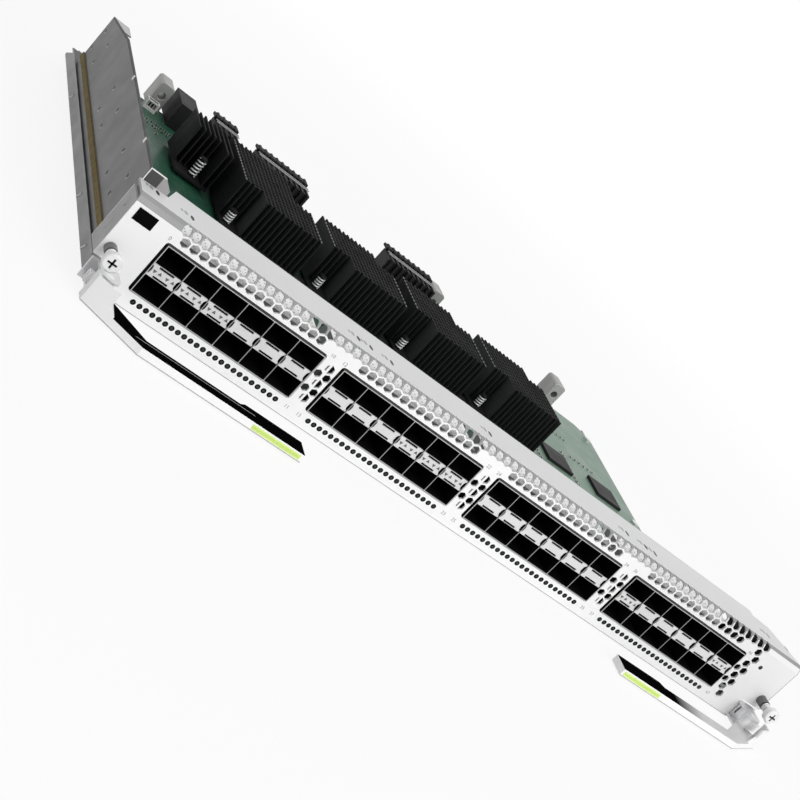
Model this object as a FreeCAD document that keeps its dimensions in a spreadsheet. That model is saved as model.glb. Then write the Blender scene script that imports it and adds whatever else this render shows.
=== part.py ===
import FreeCAD, Part
import math
import os

# Switch line card, 48 pluggable ports, lying flat on its tray.
# +X runs left to right along the front panel, +Y from the panel to the rear
# connectors and +Z up from the tray to the board's component side, in mm.
# Sub-parts are drawn with the panel's front face at Y = 0 and then placed,
# so that the middle of the tray's underside is the origin.

os.makedirs("parts", exist_ok=True)
doc = FreeCAD.newDocument("LineCard")
Vector = FreeCAD.Vector

# Driving dimensions: one plain number for each alias.
DIMENSIONS = [
    # Front panel, a folded sheet
    ("panel_width", 432.4),
    ("panel_height", 45.0),
    ("panel_gauge", 1.2),
    ("bend_radius", 3.6),
    ("top_flange_depth", 32.0),
    ("side_flange_depth", 17.4),
    ("notch_width", 12.8),
    ("notch_height", 13.0),
    ("bottom_lip_depth", 9.0),
    # Tray and side wall
    ("tray_depth", 290.0),
    ("tray_gauge", 1.2),
    ("tray_inset", 4.8),
    ("ledge_height", 12.7),
    ("ledge_end_slope", 29.0),
    ("right_rise", 6.2),
    ("wall_gauge", 0.8),
    ("tongue_drop", 0.8),
    ("wall_rise", 6.2),
    ("wall_rear_drop", 0.6),
    ("wall_rear", 239.0),
    ("wall_slope_length", 54.0),
    ("wall_tab_width", 9.0),
    ("rear_tab_width", 11.1),
    ("rear_tab_length", 15.0),
    ("tab_foot_width", 13.6),
    ("tab_foot_rise", 2.2),
    ("gasket_height", 3.2),
    ("gasket_thickness", 0.9),
    ("gasket_level", 16.4),
    # Main board
    ("board_thickness", 2.4),
    ("standoff_height", 5.1),
    ("standoff_radius", 3.0),
    ("fixing_middle", 166.0),
    ("fixing_rear", 265.0),
    ("screw_head_rise", 1.6),
    ("board_front", 10.0),
    ("board_rear", 280.0),
    ("board_left_gap", 1.0),
    ("board_right_gap", 4.0),
    ("board_corner", 12.0),
    # Port blocks
    ("left_margin", 20.7),
    ("right_margin", 34.3),
    ("block_gap", 9.0),
    ("cage_headroom", 11.3),
    ("cage_depth", 47.0),
    ("cage_sheet", 0.4),
    ("cage_proud", 0.4),
    ("cutout_left_gap", 1.3),
    ("cutout_right_gap", 0.4),
    ("cutout_top_gap", 1.1),
    ("cutout_bottom_gap", 0.4),
    ("cutout_corner", 1.6),
    ("strip_height", 6.1),
    ("strip_setback", 0.6),
    ("host_depth", 9.0),
    ("fit_gap", 0.1),
    # Vents
    ("vent_left", 26.8),
    ("vent_right", 44.7),
    ("vent_web", 0.8),
    ("vent_side_web", 1.35),
    ("vent_drop", 6.5),
    ("vent_bar", 1.0),
    ("vent_bar_offset", 0.7),
    # Heat sinks
    ("chip_width", 34.0),
    ("chip_height", 1.8),
    ("sink_start", 87.9),
    ("sink_pitch", 60.9),
    ("sink_width", 50.0),
    ("sink_front", 154.0),
    ("sink_depth", 53.0),
    ("first_sink_extra", 20.5),
    ("sink_notch_width", 12.0),
    ("sink_notch_depth", 12.5),
    ("sink_base", 1.5),
    ("sink_height", 24.2),
    ("fin_gauge", 0.9),
    ("fin_pitch", 3.06),
    ("end_sink_start", 62.2),
    ("end_sink_width", 21.0),
    ("end_sink_front", 188.0),
    ("end_sink_depth", 39.5),
    ("end_notch_width", 14.0),
    ("end_spring_inset", 11.0),
    ("end_spring_length", 11.2),
    ("spring_radius", 2.5),
    ("spring_length", 5.6),
    ("spring_wire", 0.8),
    ("spring_head", 0.8),
    ("spring_inset", 4.0),
    ("spring_setback", 6.0),
    # Ejector levers
    ("lever_gauge", 1.2),
    ("lever_lift", 0.3),
    ("lever_height", 4.0),
    ("lever_root_height", 13.0),
    ("lever_reach", 36.0),
    ("lever_length", 114.6),
    ("lever_depth", 9.0),
    ("lever_tip_depth", 11.4),
    ("lever_tip_length", 31.0),
    ("lever_end_inset", 2.1),
    ("lever_end_reach", 19.3),
    ("lever_knee", 29.3),
    ("lever_root_length", 11.4),
    ("pivot_inset", 9.1),
    ("pivot_reach", 9.0),
    ("pivot_radius", 2.0),
    ("pivot_clearance", 0.06),
    ("hub_radius", 3.4),
    ("ear_radius", 5.0),
    ("ear_gauge", 1.2),
    ("bracket_margin", 1.1),
    ("bracket_foot", 14.0),
    ("jaw_reach", 8.0),
    ("jaw_width", 3.6),
    ("grip_length", 26.0),
    ("grip_height", 2.4),
    ("grip_thickness", 0.3),
    # Captive screws
    ("screw_inset", 4.4),
    ("screw_level", 18.6),
    ("screw_head_radius", 4.2),
    ("screw_head_length", 3.6),
    ("screw_proud", 15.0),
    ("shank_radius", 1.1),
    ("thread_radius", 1.5),
    ("screw_tail", 5.4),
    ("ferrule_radius", 2.8),
    ("ferrule_length", 5.2),
    ("washer_thickness", 0.8),
    ("screw_clearance", 0.06),
    # Rear connectors
    ("rear_line", 290.0),
    ("guide_width", 9.0),
    ("guide_depth", 16.0),
    ("guide_height", 16.6),
    ("guide_bore_radius", 2.2),
    ("left_guide_start", 52.3),
    ("right_guide_inset", 56.4),
    ("middle_guide_start", 264.8),
    ("power_start", 65.4),
    ("power_width", 12.6),
    ("power_depth", 27.0),
    ("power_height", 15.4),
    ("signal_depth", 24.0),
    ("signal_height", 17.5),
    ("signal_rib", 1.2),
    ("header_start", 49.6),
    ("header_width", 8.0),
    ("header_depth", 5.0),
    ("header_height", 6.0),
    ("header_wall", 1.0),
    # Parts on the board
    ("coil_width", 8.0),
    ("coil_height", 4.0),
    ("coil_setback", 30.0),
    ("package_share", 0.2),
    # Label plate on the panel
    ("label_width", 9.4),
    ("label_height", 6.0),
    ("label_inset", 2.8),
    ("label_drop", 11.0),
    ("label_thickness", 0.2),
]

BLOCKS = 4
COLUMNS = 6
MAIN_SINKS = 4
# Each run of vents on the face: the grid step of its first opening, and its count
VENT_RUNS = [(0, 16), (20, 15), (39, 16), (59, 15)]
LAST_VENT_STEP = 73
# Each rear signal connector: its start from the panel's left end, and its wafer count
SIGNAL_CONNECTORS = [(90.4, 4), (122.2, 9), (225.5, 9)]
WAFER_PITCH = 4.3

sizes = doc.addObject("Spreadsheet::Sheet", "Sizes")
for row, (alias, value) in enumerate(DIMENSIONS, start=1):
    sizes.set("A%d" % row, alias)
    sizes.set("B%d" % row, str(value))
    sizes.setAlias("B%d" % row, alias)
doc.recompute()


def size(alias):
    """The value of a named cell of the sheet."""
    return float(getattr(sizes, alias))


# Levels and edges worked out from the driving dimensions
left_end = -size("panel_width") / 2
right_end = size("panel_width") / 2
floor_top = size("tray_gauge")
board_bottom = floor_top + size("standoff_height")
board_top = board_bottom + size("board_thickness")
tray_left = left_end + size("tray_inset")
tray_right = right_end - size("tray_inset")
board_left = tray_left + size("tray_gauge") + size("board_left_gap")
board_right = tray_right - size("board_right_gap")
block_pitch = (size("panel_width") - size("left_margin") - size("right_margin")
               + size("block_gap")) / BLOCKS
cutout_width = block_pitch - size("block_gap")
cage_width = cutout_width - size("cutout_left_gap") - size("cutout_right_gap")
column_pitch = (cage_width - size("cage_sheet")) / COLUMNS
cage_height = size("panel_height") - size("cage_headroom") - board_top

finished = []


def finish(feature, label, moved=True):
    """Names a sub-part, moves it back so that the tray's middle is the origin and lists it."""
    feature.Label = label
    if moved:
        feature.setExpression("Placement.Base.y", "-Sizes.tray_depth / 2")
    finished.append(feature)
    return feature


def shape_part(label, shape):
    """A sub-part whose shape is worked out in code from the sheet."""
    feature = doc.addObject("Part::Feature", label)
    feature.Shape = shape
    return finish(feature, label)


def block(x0, x1, y0, y1, z0, z1):
    """A solid box between two corners."""
    return Part.makeBox(x1 - x0, y1 - y0, z1 - z0, Vector(x0, y0, z0))


def rod(radius, start, axis, length):
    """A solid cylinder from a point along an axis."""
    return Part.makeCylinder(radius, length, start, axis)


def tube(outer, inner, start, axis, length):
    """A hollow cylinder from a point along an axis."""
    return rod(outer, start, axis, length).cut(rod(inner, start, axis, length))


def post(sides, radius, x, y, z, height):
    """An upright post with flat sides, as wide as a round one of that radius."""
    reach = radius / math.cos(math.pi / sides)
    points = []
    for step in range(sides):
        angle = math.pi * (2 * step + 1) / sides
        points.append(Vector(x + reach * math.cos(angle), y + reach * math.sin(angle), z))
    return prism(points, height)


def prism(points, height):
    """A straight prism over a closed outline, raised along +Z."""
    outline = Part.makePolygon(points + [points[0]])
    return Part.Face(outline).extrude(Vector(0, 0, height))


def joined(shapes):
    """One solid out of touching or overlapping ones."""
    result = shapes[0]
    if len(shapes) > 1:
        result = shapes[0].fuse(shapes[1:])
    return result.removeSplitter()


def mirrored(shape):
    """The right-hand twin of a left-hand shape."""
    return shape.mirror(Vector(0, 0, 0), Vector(1, 0, 0))


def origin_plane(body, role):
    """One of a body's own origin planes, found by its role."""
    for plane in body.Origin.OriginFeatures:
        if plane.Role == role:
            return plane


def add_sketch(body, name, role, level, edges):
    """A sketch on one of the body's own planes, raised by level along its normal."""
    sketch = body.newObject("Sketcher::SketchObject", name)
    sketch.AttachmentSupport = [(origin_plane(body, role), "")]
    sketch.MapMode = "FlatFace"
    sketch.AttachmentOffset = FreeCAD.Placement(Vector(0, 0, level), FreeCAD.Rotation())
    for edge in edges:
        sketch.addGeometry(edge, False)
    doc.recompute()
    return sketch


def outline_edges(points):
    """Line segments round a closed outline in the sketch plane."""
    edges = []
    for index, (a, b) in enumerate(points):
        c, d = points[(index + 1) % len(points)]
        edges.append(Part.LineSegment(Vector(a, b, 0), Vector(c, d, 0)))
    return edges


def add_pad(body, sketch, length_formula, reverse=False, middle=False):
    """A pad whose length is bound to the sheet."""
    pad = body.newObject("PartDesign::Pad", sketch.Name + "Pad")
    pad.Profile = sketch
    pad.setExpression("Length", length_formula)
    pad.Reversed = reverse
    pad.Midplane = middle
    body.Tip = pad
    doc.recompute()
    return pad


def plate_body(label, points, level, thickness_formula):
    """A flat plate: one outline on the body's XY plane, padded upward."""
    body = doc.addObject("PartDesign::Body", label)
    sketch = add_sketch(body, label + "Outline", "XY_Plane", level, outline_edges(points))
    add_pad(body, sketch, thickness_formula)
    return body


def hexagon(x, z, across_flats):
    """Corners of a honeycomb opening that stands on a point."""
    radius = across_flats / math.sqrt(3)
    corners = []
    for step in range(6):
        angle = math.radians(30 + 60 * step)
        corners.append((x + radius * math.cos(angle), z + radius * math.sin(angle)))
    return corners


def cutter(corners, near, far):
    """A straight punch through the panel, along Y."""
    points = [Vector(x, near, z) for x, z in corners]
    outline = Part.makePolygon(points + [points[0]])
    return Part.Face(outline).extrude(Vector(0, far - near, 0))


# Front panel: a folded sheet with port cut-outs and honeycomb vents

gauge = size("panel_gauge")
cutout_height = cage_height + size("cutout_top_gap") + size("cutout_bottom_gap")
cutout_bottom = board_top - size("cutout_bottom_gap")


def block_left(index):
    """Left edge of a port block's cut-out."""
    return left_end + size("left_margin") + index * block_pitch


def panel_profile():
    """The panel's folded section in the YZ plane: front wall, bend, top flange and bottom lip."""
    outer = size("bend_radius")
    top = size("panel_height")
    depth = size("top_flange_depth")
    shoulder = top - outer

    def bend(radius):
        """The bend's middle point at a given radius from its centre."""
        return (outer - radius * math.sqrt(0.5), shoulder + radius * math.sqrt(0.5))

    return [
        (0, 0),
        (0, shoulder),
        bend(outer),
        (outer, top),
        (depth, top),
        (depth, top - gauge),
        (outer, top - gauge),
        bend(outer - gauge),
        (gauge, shoulder),
        (gauge, floor_top + gauge),
        (size("bottom_lip_depth"), floor_top + gauge),
        (size("bottom_lip_depth"), floor_top),
        (gauge, floor_top),
        (gauge, 0),
    ]


def rounded_cutout(x0, x1, z0, z1, radius):
    """A punch with rounded corners, for one port block."""
    solid = block(x0, x1, -1, size("panel_gauge") + 1, z0, z1)
    upright = [e for e in solid.Edges if abs(e.tangentAt(e.FirstParameter).y) > 0.9]
    return solid.makeFillet(radius, upright)


def vent_cutters():
    """Honeycomb openings: runs on the face, a row across the bend, and columns beside the blocks."""
    first = left_end + size("vent_left")
    pitch = (size("panel_width") - size("vent_left") - size("vent_right")) / LAST_VENT_STEP
    flats = pitch - size("vent_web")
    side_flats = pitch - size("vent_side_web")
    rise = pitch * math.sqrt(3) / 2
    bar = size("vent_bar") / 2
    near = -1
    face_far = gauge + 1
    bend_far = size("bend_radius") + gauge
    level = size("panel_height") - size("vent_drop")
    cutters = []

    def vent(x, row, far, across=flats):
        """One opening, counted in rows down from the row on the face."""
        cutters.append(cutter(hexagon(x, level - row * rise, across), near, far))

    for start, count in VENT_RUNS:
        for step in range(start, start + count):
            vent(first + step * pitch, 0, face_far)
    for step in range(LAST_VENT_STEP + 5):
        vent(first + (step - 0.5) * pitch, -1, bend_far)
    column = first + (LAST_VENT_STEP + 3) * pitch
    for row in (0, 2, 4, 6):
        vent(column, row, face_far)
    for row in (1, 3, 5, 7):
        vent(column + pitch / 2, row, face_far)
    for row in (3, 5):
        vent(column - pitch / 2, row, face_far, side_flats)
    for index in range(BLOCKS - 1):
        middle = block_left(index) + cutout_width + size("block_gap") / 2
        for row in (3, 5):
            vent(middle - pitch / 2, row, face_far, side_flats)
            vent(middle + pitch / 2, row, face_far, side_flats)
        for row in (2, 4, 6):
            z = level - row * rise
            whole = cutter(hexagon(middle + size("vent_bar_offset"), z, flats), near, face_far)
            cutters.append(whole.cut(block(middle - bar, middle + bar, near, face_far,
                                           z - pitch, z + pitch)))
    return cutters


panel_blank = doc.addObject("PartDesign::Body", "PanelBlank")
panel_sketch = add_sketch(panel_blank, "PanelSection", "YZ_Plane", 0,
                          outline_edges(panel_profile()))
add_pad(panel_blank, panel_sketch, "Sizes.panel_width", middle=True)

side_flange_top = size("panel_height") - size("bend_radius")
flange_left = block(left_end, left_end + gauge, gauge, size("side_flange_depth"),
                    size("notch_height"), side_flange_top)
flange_right = block(right_end - gauge, right_end, gauge, 0.5 * size("side_flange_depth"),
                     size("notch_height"), side_flange_top)
panel_cuts = []
for index in range(BLOCKS):
    x0 = block_left(index)
    panel_cuts.append(rounded_cutout(x0, x0 + cutout_width, cutout_bottom,
                                     cutout_bottom + cutout_height, size("cutout_corner")))
panel_cuts += vent_cutters()
for side in (-1, 1):
    end = side * size("panel_width") / 2
    inner = end - side * size("notch_width")
    panel_cuts.append(block(min(end, inner) - 0.01, max(end, inner) + 0.01, -1,
                            size("bottom_lip_depth") + 1, -1, size("notch_height")))
    screw_x = end - side * size("screw_inset")
    panel_cuts.append(rod(size("ferrule_radius"),
                          Vector(screw_x, -1, size("screw_level")), Vector(0, 1, 0), gauge + 2))
# The flange's rear corners are cut back beside the side wall's tab and at the right end
wall_tab = size("wall_tab_width")
tab_foot = size("tab_foot_width")
top = size("panel_height")
depth = size("top_flange_depth")
side_depth = size("side_flange_depth")
panel_cuts.append(prism([
    Vector(left_end - 1, side_depth, top - gauge - 1),
    Vector(left_end + tab_foot + 1, side_depth, top - gauge - 1),
    Vector(left_end + tab_foot + 7, depth + 1, top - gauge - 1),
    Vector(left_end - 1, depth + 1, top - gauge - 1),
], gauge + 2))
panel_cuts.append(prism([
    Vector(right_end + 1, size("bend_radius"), top - gauge - 1),
    Vector(right_end - 13, depth - 6, top - gauge - 1),
    Vector(right_end - 25, depth - 4, top - gauge - 1),
    Vector(right_end - 25, depth + 1, top - gauge - 1),
    Vector(right_end + 1, depth + 1, top - gauge - 1),
], gauge + 2))
# Two stiffening slots in the left side flange
for z in (24.0, 36.0):
    panel_cuts.append(block(left_end - 1, left_end + gauge + 1, 8.0, 10.0, z - 2.5, z + 2.5))
panel_shape = panel_blank.Shape.fuse([flange_left, flange_right]).removeSplitter()
shape_part("faceplate", panel_shape.cut(panel_cuts))

# Tray: floor, recessed left side with an outward ledge, and low right side

tray_gauge = size("tray_gauge")
ledge = size("ledge_height")
tray_front = size("panel_gauge")
tray_section = [
    (tray_left, 0),
    (tray_right, 0),
    (tray_right, size("right_rise")),
    (tray_right - tray_gauge, size("right_rise")),
    (tray_right - tray_gauge, tray_gauge),
    (tray_left + tray_gauge, tray_gauge),
    (tray_left + tray_gauge, ledge),
    (left_end, ledge),
    (left_end, ledge - tray_gauge),
    (tray_left, ledge - tray_gauge),
]
tray = doc.addObject("PartDesign::Body", "Tray")
tray_sketch = add_sketch(tray, "TraySection", "XZ_Plane", -tray_front, outline_edges(tray_section))
add_pad(tray, tray_sketch, "Sizes.tray_depth - Sizes.panel_gauge", reverse=True)
# The ledge's rear end slopes down to the floor
slope_start = size("tray_depth") - size("ledge_end_slope")
slope_face = Part.Face(Part.makePolygon([
    Vector(left_end - 1, slope_start, ledge + 1),
    Vector(left_end - 1, slope_start, ledge),
    Vector(left_end - 1, size("tray_depth"), tray_gauge),
    Vector(left_end - 1, size("tray_depth") + 1, tray_gauge),
    Vector(left_end - 1, size("tray_depth") + 1, ledge + 1),
    Vector(left_end - 1, slope_start, ledge + 1),
]))
ledge_end = slope_face.extrude(Vector(size("tray_inset") + tray_gauge + 1.1, 0, 0))
shape_part("base_tray", tray.Shape.cut(ledge_end))

# Side wall with its sloped rear top, front and rear tabs

wall_front = size("side_flange_depth")
wall_outer = left_end + gauge
wall_gauge = size("wall_gauge")
wall_rear = size("wall_rear")
wall_top = size("panel_height") + size("wall_rise")
wall_rear_top = size("panel_height") - size("wall_rear_drop")
tongue_top = size("panel_height") - gauge - size("tongue_drop")
wall_outline = [
    (size("bend_radius") + size("fit_gap"), ledge),
    (wall_rear, ledge),
    (wall_rear, wall_rear_top),
    (wall_rear - size("wall_slope_length"), wall_top),
    (wall_front, wall_top),
    (wall_front, tongue_top),
    (size("bend_radius") + size("fit_gap"), tongue_top),
]
wall = doc.addObject("PartDesign::Body", "SideWall")
wall_sketch = add_sketch(wall, "WallOutline", "YZ_Plane", wall_outer, outline_edges(wall_outline))
add_pad(wall, wall_sketch, "Sizes.wall_gauge")
corner_tab = Part.Face(Part.makePolygon([
    Vector(wall_outer, wall_front, top),
    Vector(left_end + tab_foot, wall_front, top),
    Vector(left_end + tab_foot, wall_front, top + size("tab_foot_rise")),
    Vector(left_end + wall_tab, wall_front, wall_top),
    Vector(wall_outer, wall_front, wall_top),
    Vector(wall_outer, wall_front, top),
])).extrude(Vector(0, wall_gauge, 0))
rear_tab = block(wall_outer, left_end + size("rear_tab_width"),
                 wall_rear - size("rear_tab_length"), wall_rear,
                 wall_rear_top - wall_gauge, wall_rear_top)
foot_tab = block(wall_outer, tray_left + tray_gauge, wall_front, wall_rear,
                 ledge, ledge + wall_gauge)
shape_part("side_wall", joined([wall.Shape, corner_tab, rear_tab, foot_tab]))

# Conductive gasket strip along the outside of the side wall
shape_part("emi_gasket", block(wall_outer - size("gasket_thickness"), wall_outer, wall_front,
                               wall_rear, size("gasket_level"),
                               size("gasket_level") + size("gasket_height")))

# Main board, with a clipped rear right corner
corner = size("board_corner")
board_outline = [
    (board_left, size("board_front")),
    (board_right, size("board_front")),
    (board_right, size("board_rear") - corner),
    (board_right - 0.35 * corner, size("board_rear") - 0.35 * corner),
    (board_right - corner, size("board_rear")),
    (board_left, size("board_rear")),
]
board = plate_body("Board", board_outline, board_bottom, "Sizes.board_thickness")
finish(board, "main_board")

# Standoffs between the tray and the board
inset = 2 * size("standoff_radius")
fixing_rows = [size("cage_depth") + 2 * inset, size("fixing_middle"), size("fixing_rear")]
fixings = []
for x in (board_left + inset, board_right - inset):
    for y in fixing_rows:
        fixings.append((x, y))
for x in (left_end / 3, right_end / 3):
    for y in (fixing_rows[0], fixing_rows[2] - size("signal_depth") + inset):
        fixings.append((x, y))
standoffs = []
board_screws = []
for x, y in fixings:
    standoffs.append(post(6, size("standoff_radius"), x, y, floor_top, size("standoff_height")))
    board_screws.append(post(8, 0.9 * size("standoff_radius"), x, y, board_top,
                             size("screw_head_rise")))
shape_part("standoffs", Part.makeCompound(standoffs))
shape_part("board_screws", Part.makeCompound(board_screws))

# Port cages: a folded cover, a floor, dividers and the spacer strips between the two rows
sheet = size("cage_sheet")
cage_front = -size("cage_proud")
cage_rear = cage_front + size("cage_depth")
cage_top = board_top + cage_height
strip_bottom = board_top + (cage_height - size("strip_height")) / 2
strip_top = strip_bottom + size("strip_height")
host_front = cage_rear - sheet - size("host_depth")
hosts = []
for index in range(BLOCKS):
    x0 = block_left(index) + size("cutout_left_gap")
    x1 = x0 + cage_width
    number = index + 1
    cover = joined([
        block(x0, x0 + sheet, cage_front, cage_rear, board_top, cage_top),
        block(x1 - sheet, x1, cage_front, cage_rear, board_top, cage_top),
        block(x0, x1, cage_front, cage_rear, cage_top - sheet, cage_top),
        block(x0, x1, cage_rear - sheet, cage_rear, board_top, cage_top),
    ])
    shape_part("port_cage_%d" % number, cover)
    floor = block(x0 + sheet, x1 - sheet, cage_front, cage_rear - sheet, board_top,
                  board_top + sheet)
    shape_part("cage_floor_%d" % number, floor)
    dividers = []
    strips = []
    for column in range(COLUMNS):
        left = x0 + column * column_pitch
        right = left + column_pitch
        if column > 0:
            dividers.append(block(left, left + sheet, cage_front, cage_rear - sheet,
                                  board_top + sheet, cage_top - sheet))
        strips.append(block(left + sheet, right, cage_front + size("strip_setback"),
                            host_front, strip_bottom, strip_top))
        hosts.append(block(left + sheet + 1, right - 1, host_front, cage_rear - sheet,
                           board_top + sheet + 1, cage_top - sheet - 1))
    shape_part("cage_dividers_%d" % number, Part.makeCompound(dividers))
    shape_part("port_spacers_%d" % number, Part.makeCompound(strips))

shape_part("host_connectors", Part.makeCompound(hosts))

# Heat sinks: a chip, a thin base and a row of fins with two corners left free for springs
chip_top = board_top + size("chip_height")
base_top = chip_top + size("sink_base")


def heat_sink(body_name, x0, width, y0, y1, front_notch, rear_notch):
    """A finned heat sink: a base pad, then each run of equal fins as one pad and its pattern."""
    body = doc.addObject("PartDesign::Body", body_name)
    base_points = [(x0, y0), (x0 + width, y0), (x0 + width, y1), (x0, y1)]
    base_sketch = add_sketch(body, body_name + "Base", "XY_Plane", chip_top,
                             outline_edges(base_points))
    add_pad(body, base_sketch, "Sizes.sink_base")
    gauge = size("fin_gauge")
    last = int((width - gauge) / size("fin_pitch"))
    step = (width - gauge) / last
    runs = []
    for index in range(last + 1):
        x = x0 + index * step
        near = y0 + (front_notch[1] if x < x0 + front_notch[0] else 0)
        far = y1 - (rear_notch[1] if x + gauge > x0 + width - rear_notch[0] else 0)
        if runs and runs[-1][1:3] == [near, far]:
            runs[-1][3] += 1
        else:
            runs.append([x, near, far, 1])
    for number, (x, near, far, count) in enumerate(runs, start=1):
        fin_points = [(x, near), (x + gauge, near), (x + gauge, far), (x, far)]
        name = "%sFin%d" % (body_name, number)
        fin_sketch = add_sketch(body, name, "XY_Plane", chip_top, outline_edges(fin_points))
        fin = add_pad(body, fin_sketch, "Sizes.sink_height")
        if count > 1:
            pattern = body.newObject("PartDesign::LinearPattern", name + "Row")
            pattern.Originals = [fin]
            pattern.Direction = (fin_sketch, ["H_Axis"])
            pattern.Length = (count - 1) * step
            pattern.Occurrences = count
            body.Tip = pattern
            doc.recompute()
    return body


def with_screw_holes(body, spots):
    """The sink's shape with a hole through its base at each spring screw."""
    holes = []
    for x, y in spots:
        holes.append(post(8, 2 * size("spring_wire"), x, y, chip_top - 1, size("sink_base") + 2))
    return body.Shape.cut(holes)


# Each spring: its place and its length
spring_spots = []
first_left = left_end + size("sink_start")
inset_x = size("spring_inset")
inset_y = size("spring_setback")
notch = (size("sink_notch_width"), size("sink_notch_depth"))
for index in range(MAIN_SINKS):
    x0 = first_left + index * size("sink_pitch")
    x1 = x0 + size("sink_width")
    y0 = size("sink_front")
    y1 = y0 + size("sink_depth")
    extra = size("first_sink_extra") if index == 0 else 0
    sink = heat_sink("Sink%d" % (index + 1), x0, size("sink_width"), y0, y1 + extra, notch,
                     (notch[0], notch[1] + extra))
    spots = [(x0 + inset_x, y0 + inset_y), (x1 - inset_x, y1 - inset_y)]
    for x, y in spots:
        spring_spots.append((x, y, size("spring_length")))
    shape_part("heat_sink_%d" % (index + 1), with_screw_holes(sink, spots))

# The narrow heat sink at the left end of the row
end_x = left_end + size("end_sink_start")
end_front = size("end_sink_front")
end_rear = end_front + size("end_sink_depth")
end_sink = heat_sink("EndSink", end_x, size("end_sink_width"), end_front, end_rear,
                     (size("end_notch_width"), notch[1]), (0, 0))
end_spot = (end_x + size("end_spring_inset"), end_front + inset_y)
shape_part("end_heat_sink", with_screw_holes(end_sink, [end_spot]))
spring_spots.append(end_spot + (size("end_spring_length"),))

chips = []
for index in range(MAIN_SINKS):
    cx = first_left + index * size("sink_pitch") + size("sink_width") / 2
    cy = size("sink_front") + size("sink_depth") / 2
    half = size("chip_width") / 2
    chips.append(block(cx - half, cx + half, cy - half, cy + half, board_top, chip_top))
half = 0.4 * size("end_sink_width")
cx = end_x + size("end_sink_width") / 2
cy = (end_front + end_rear) / 2
chips.append(block(cx - half, cx + half, cy - half, cy + half, board_top, chip_top))
shape_part("switch_chips", Part.makeCompound(chips))

springs = []
spring_screws = []
for x, y, length in spring_spots:
    coil = post(8, size("spring_radius"), x, y, base_top, length)
    springs.append(coil.cut(post(8, size("spring_radius") - size("spring_wire"), x, y,
                                 base_top - 1, length + 2)))
    shank = post(6, size("spring_wire") + 0.2, x, y, board_top, base_top - board_top + length)
    head = post(8, size("spring_radius"), x, y, base_top + length, size("spring_head"))
    spring_screws.append(shank.fuse(head))
shape_part("sink_springs", Part.makeCompound(springs))
shape_part("sink_screws", Part.makeCompound(spring_screws))

# Rear connectors
rear = size("rear_line")


def guide(x0):
    """A die-cast guide block with a pin bore that faces the rear."""
    x1 = x0 + size("guide_width")
    solid = block(x0, x1, rear - size("guide_depth"), rear, board_top,
                  board_top + size("guide_height"))
    upper = [e for e in solid.Edges
             if e.BoundBox.ZMin > board_top + size("guide_height") - 0.1 and e.BoundBox.YLength > 1]
    solid = solid.makeChamfer(1.2, upper)
    bore = rod(size("guide_bore_radius"),
               Vector((x0 + x1) / 2, rear - size("guide_depth") - 1,
                      board_top + 0.55 * size("guide_height")), Vector(0, 1, 0),
               size("guide_depth") + 2)
    return solid.cut(bore)


shape_part("left_guide", guide(left_end + size("left_guide_start")))
shape_part("middle_guide", guide(left_end + size("middle_guide_start")))
shape_part("right_guide", guide(right_end - size("right_guide_inset")))

power_x = left_end + size("power_start")
power_body = block(power_x, power_x + size("power_width"), rear - size("power_depth"), rear,
                   board_top, board_top + size("power_height"))
slots = []
for step in range(3):
    x = power_x + size("power_width") * (0.2 + 0.3 * step)
    slots.append(block(x - 0.6, x + 0.6, rear - 8, rear + 1, board_top + 3,
                       board_top + size("power_height") - 3))
shape_part("power_connector", power_body.cut(slots))


def signal_connector(start, wafers):
    """A high-speed connector: a row of wafers between a floor bar and a rear shroud."""
    x0 = left_end + start
    width = wafers * WAFER_PITCH
    y0 = rear - size("signal_depth")
    shroud_top = board_top + size("signal_height")
    pieces = [block(x0, x0 + width, y0 + 3, rear - 5, board_top, shroud_top - 2)]
    for step in range(wafers):
        x = x0 + (step + 0.5) * WAFER_PITCH
        pieces.append(block(x - size("signal_rib") / 2, x + size("signal_rib") / 2, y0, rear - 4,
                            board_top, shroud_top - 1))
    pieces.append(block(x0, x0 + width, rear - 7, rear, shroud_top - 1.6, shroud_top))
    pieces.append(block(x0, x0 + width, rear - 7, rear, board_top, board_top + 1.6))
    return joined(pieces)


for number, (start, wafers) in enumerate(SIGNAL_CONNECTORS, start=1):
    shape_part("signal_connector_%d" % number, signal_connector(start, wafers))

# Small pin header in front of the left guide
header_x = left_end + size("header_start")
header_end = header_x + size("header_width")
header_y = rear - size("guide_depth") - 9
header_back = header_y + size("header_depth")
header_wall = size("header_wall")
header_top = board_top + size("header_height")
header = block(header_x, header_end, header_y, header_back, board_top, header_top)
header = header.cut(block(header_x + header_wall, header_end - header_wall,
                          header_y + header_wall, header_back - header_wall,
                          board_top + header_wall, header_top + 1))
shape_part("pin_header", header)

# Ejector levers. The left one is drawn and the right one is its mirror image.
pivot_x = left_end + size("pivot_inset")
pivot_y = -size("pivot_reach")
lever_bottom = size("lever_lift")
lever_top = lever_bottom + size("lever_height")
lever_gauge = size("lever_gauge")


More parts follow.
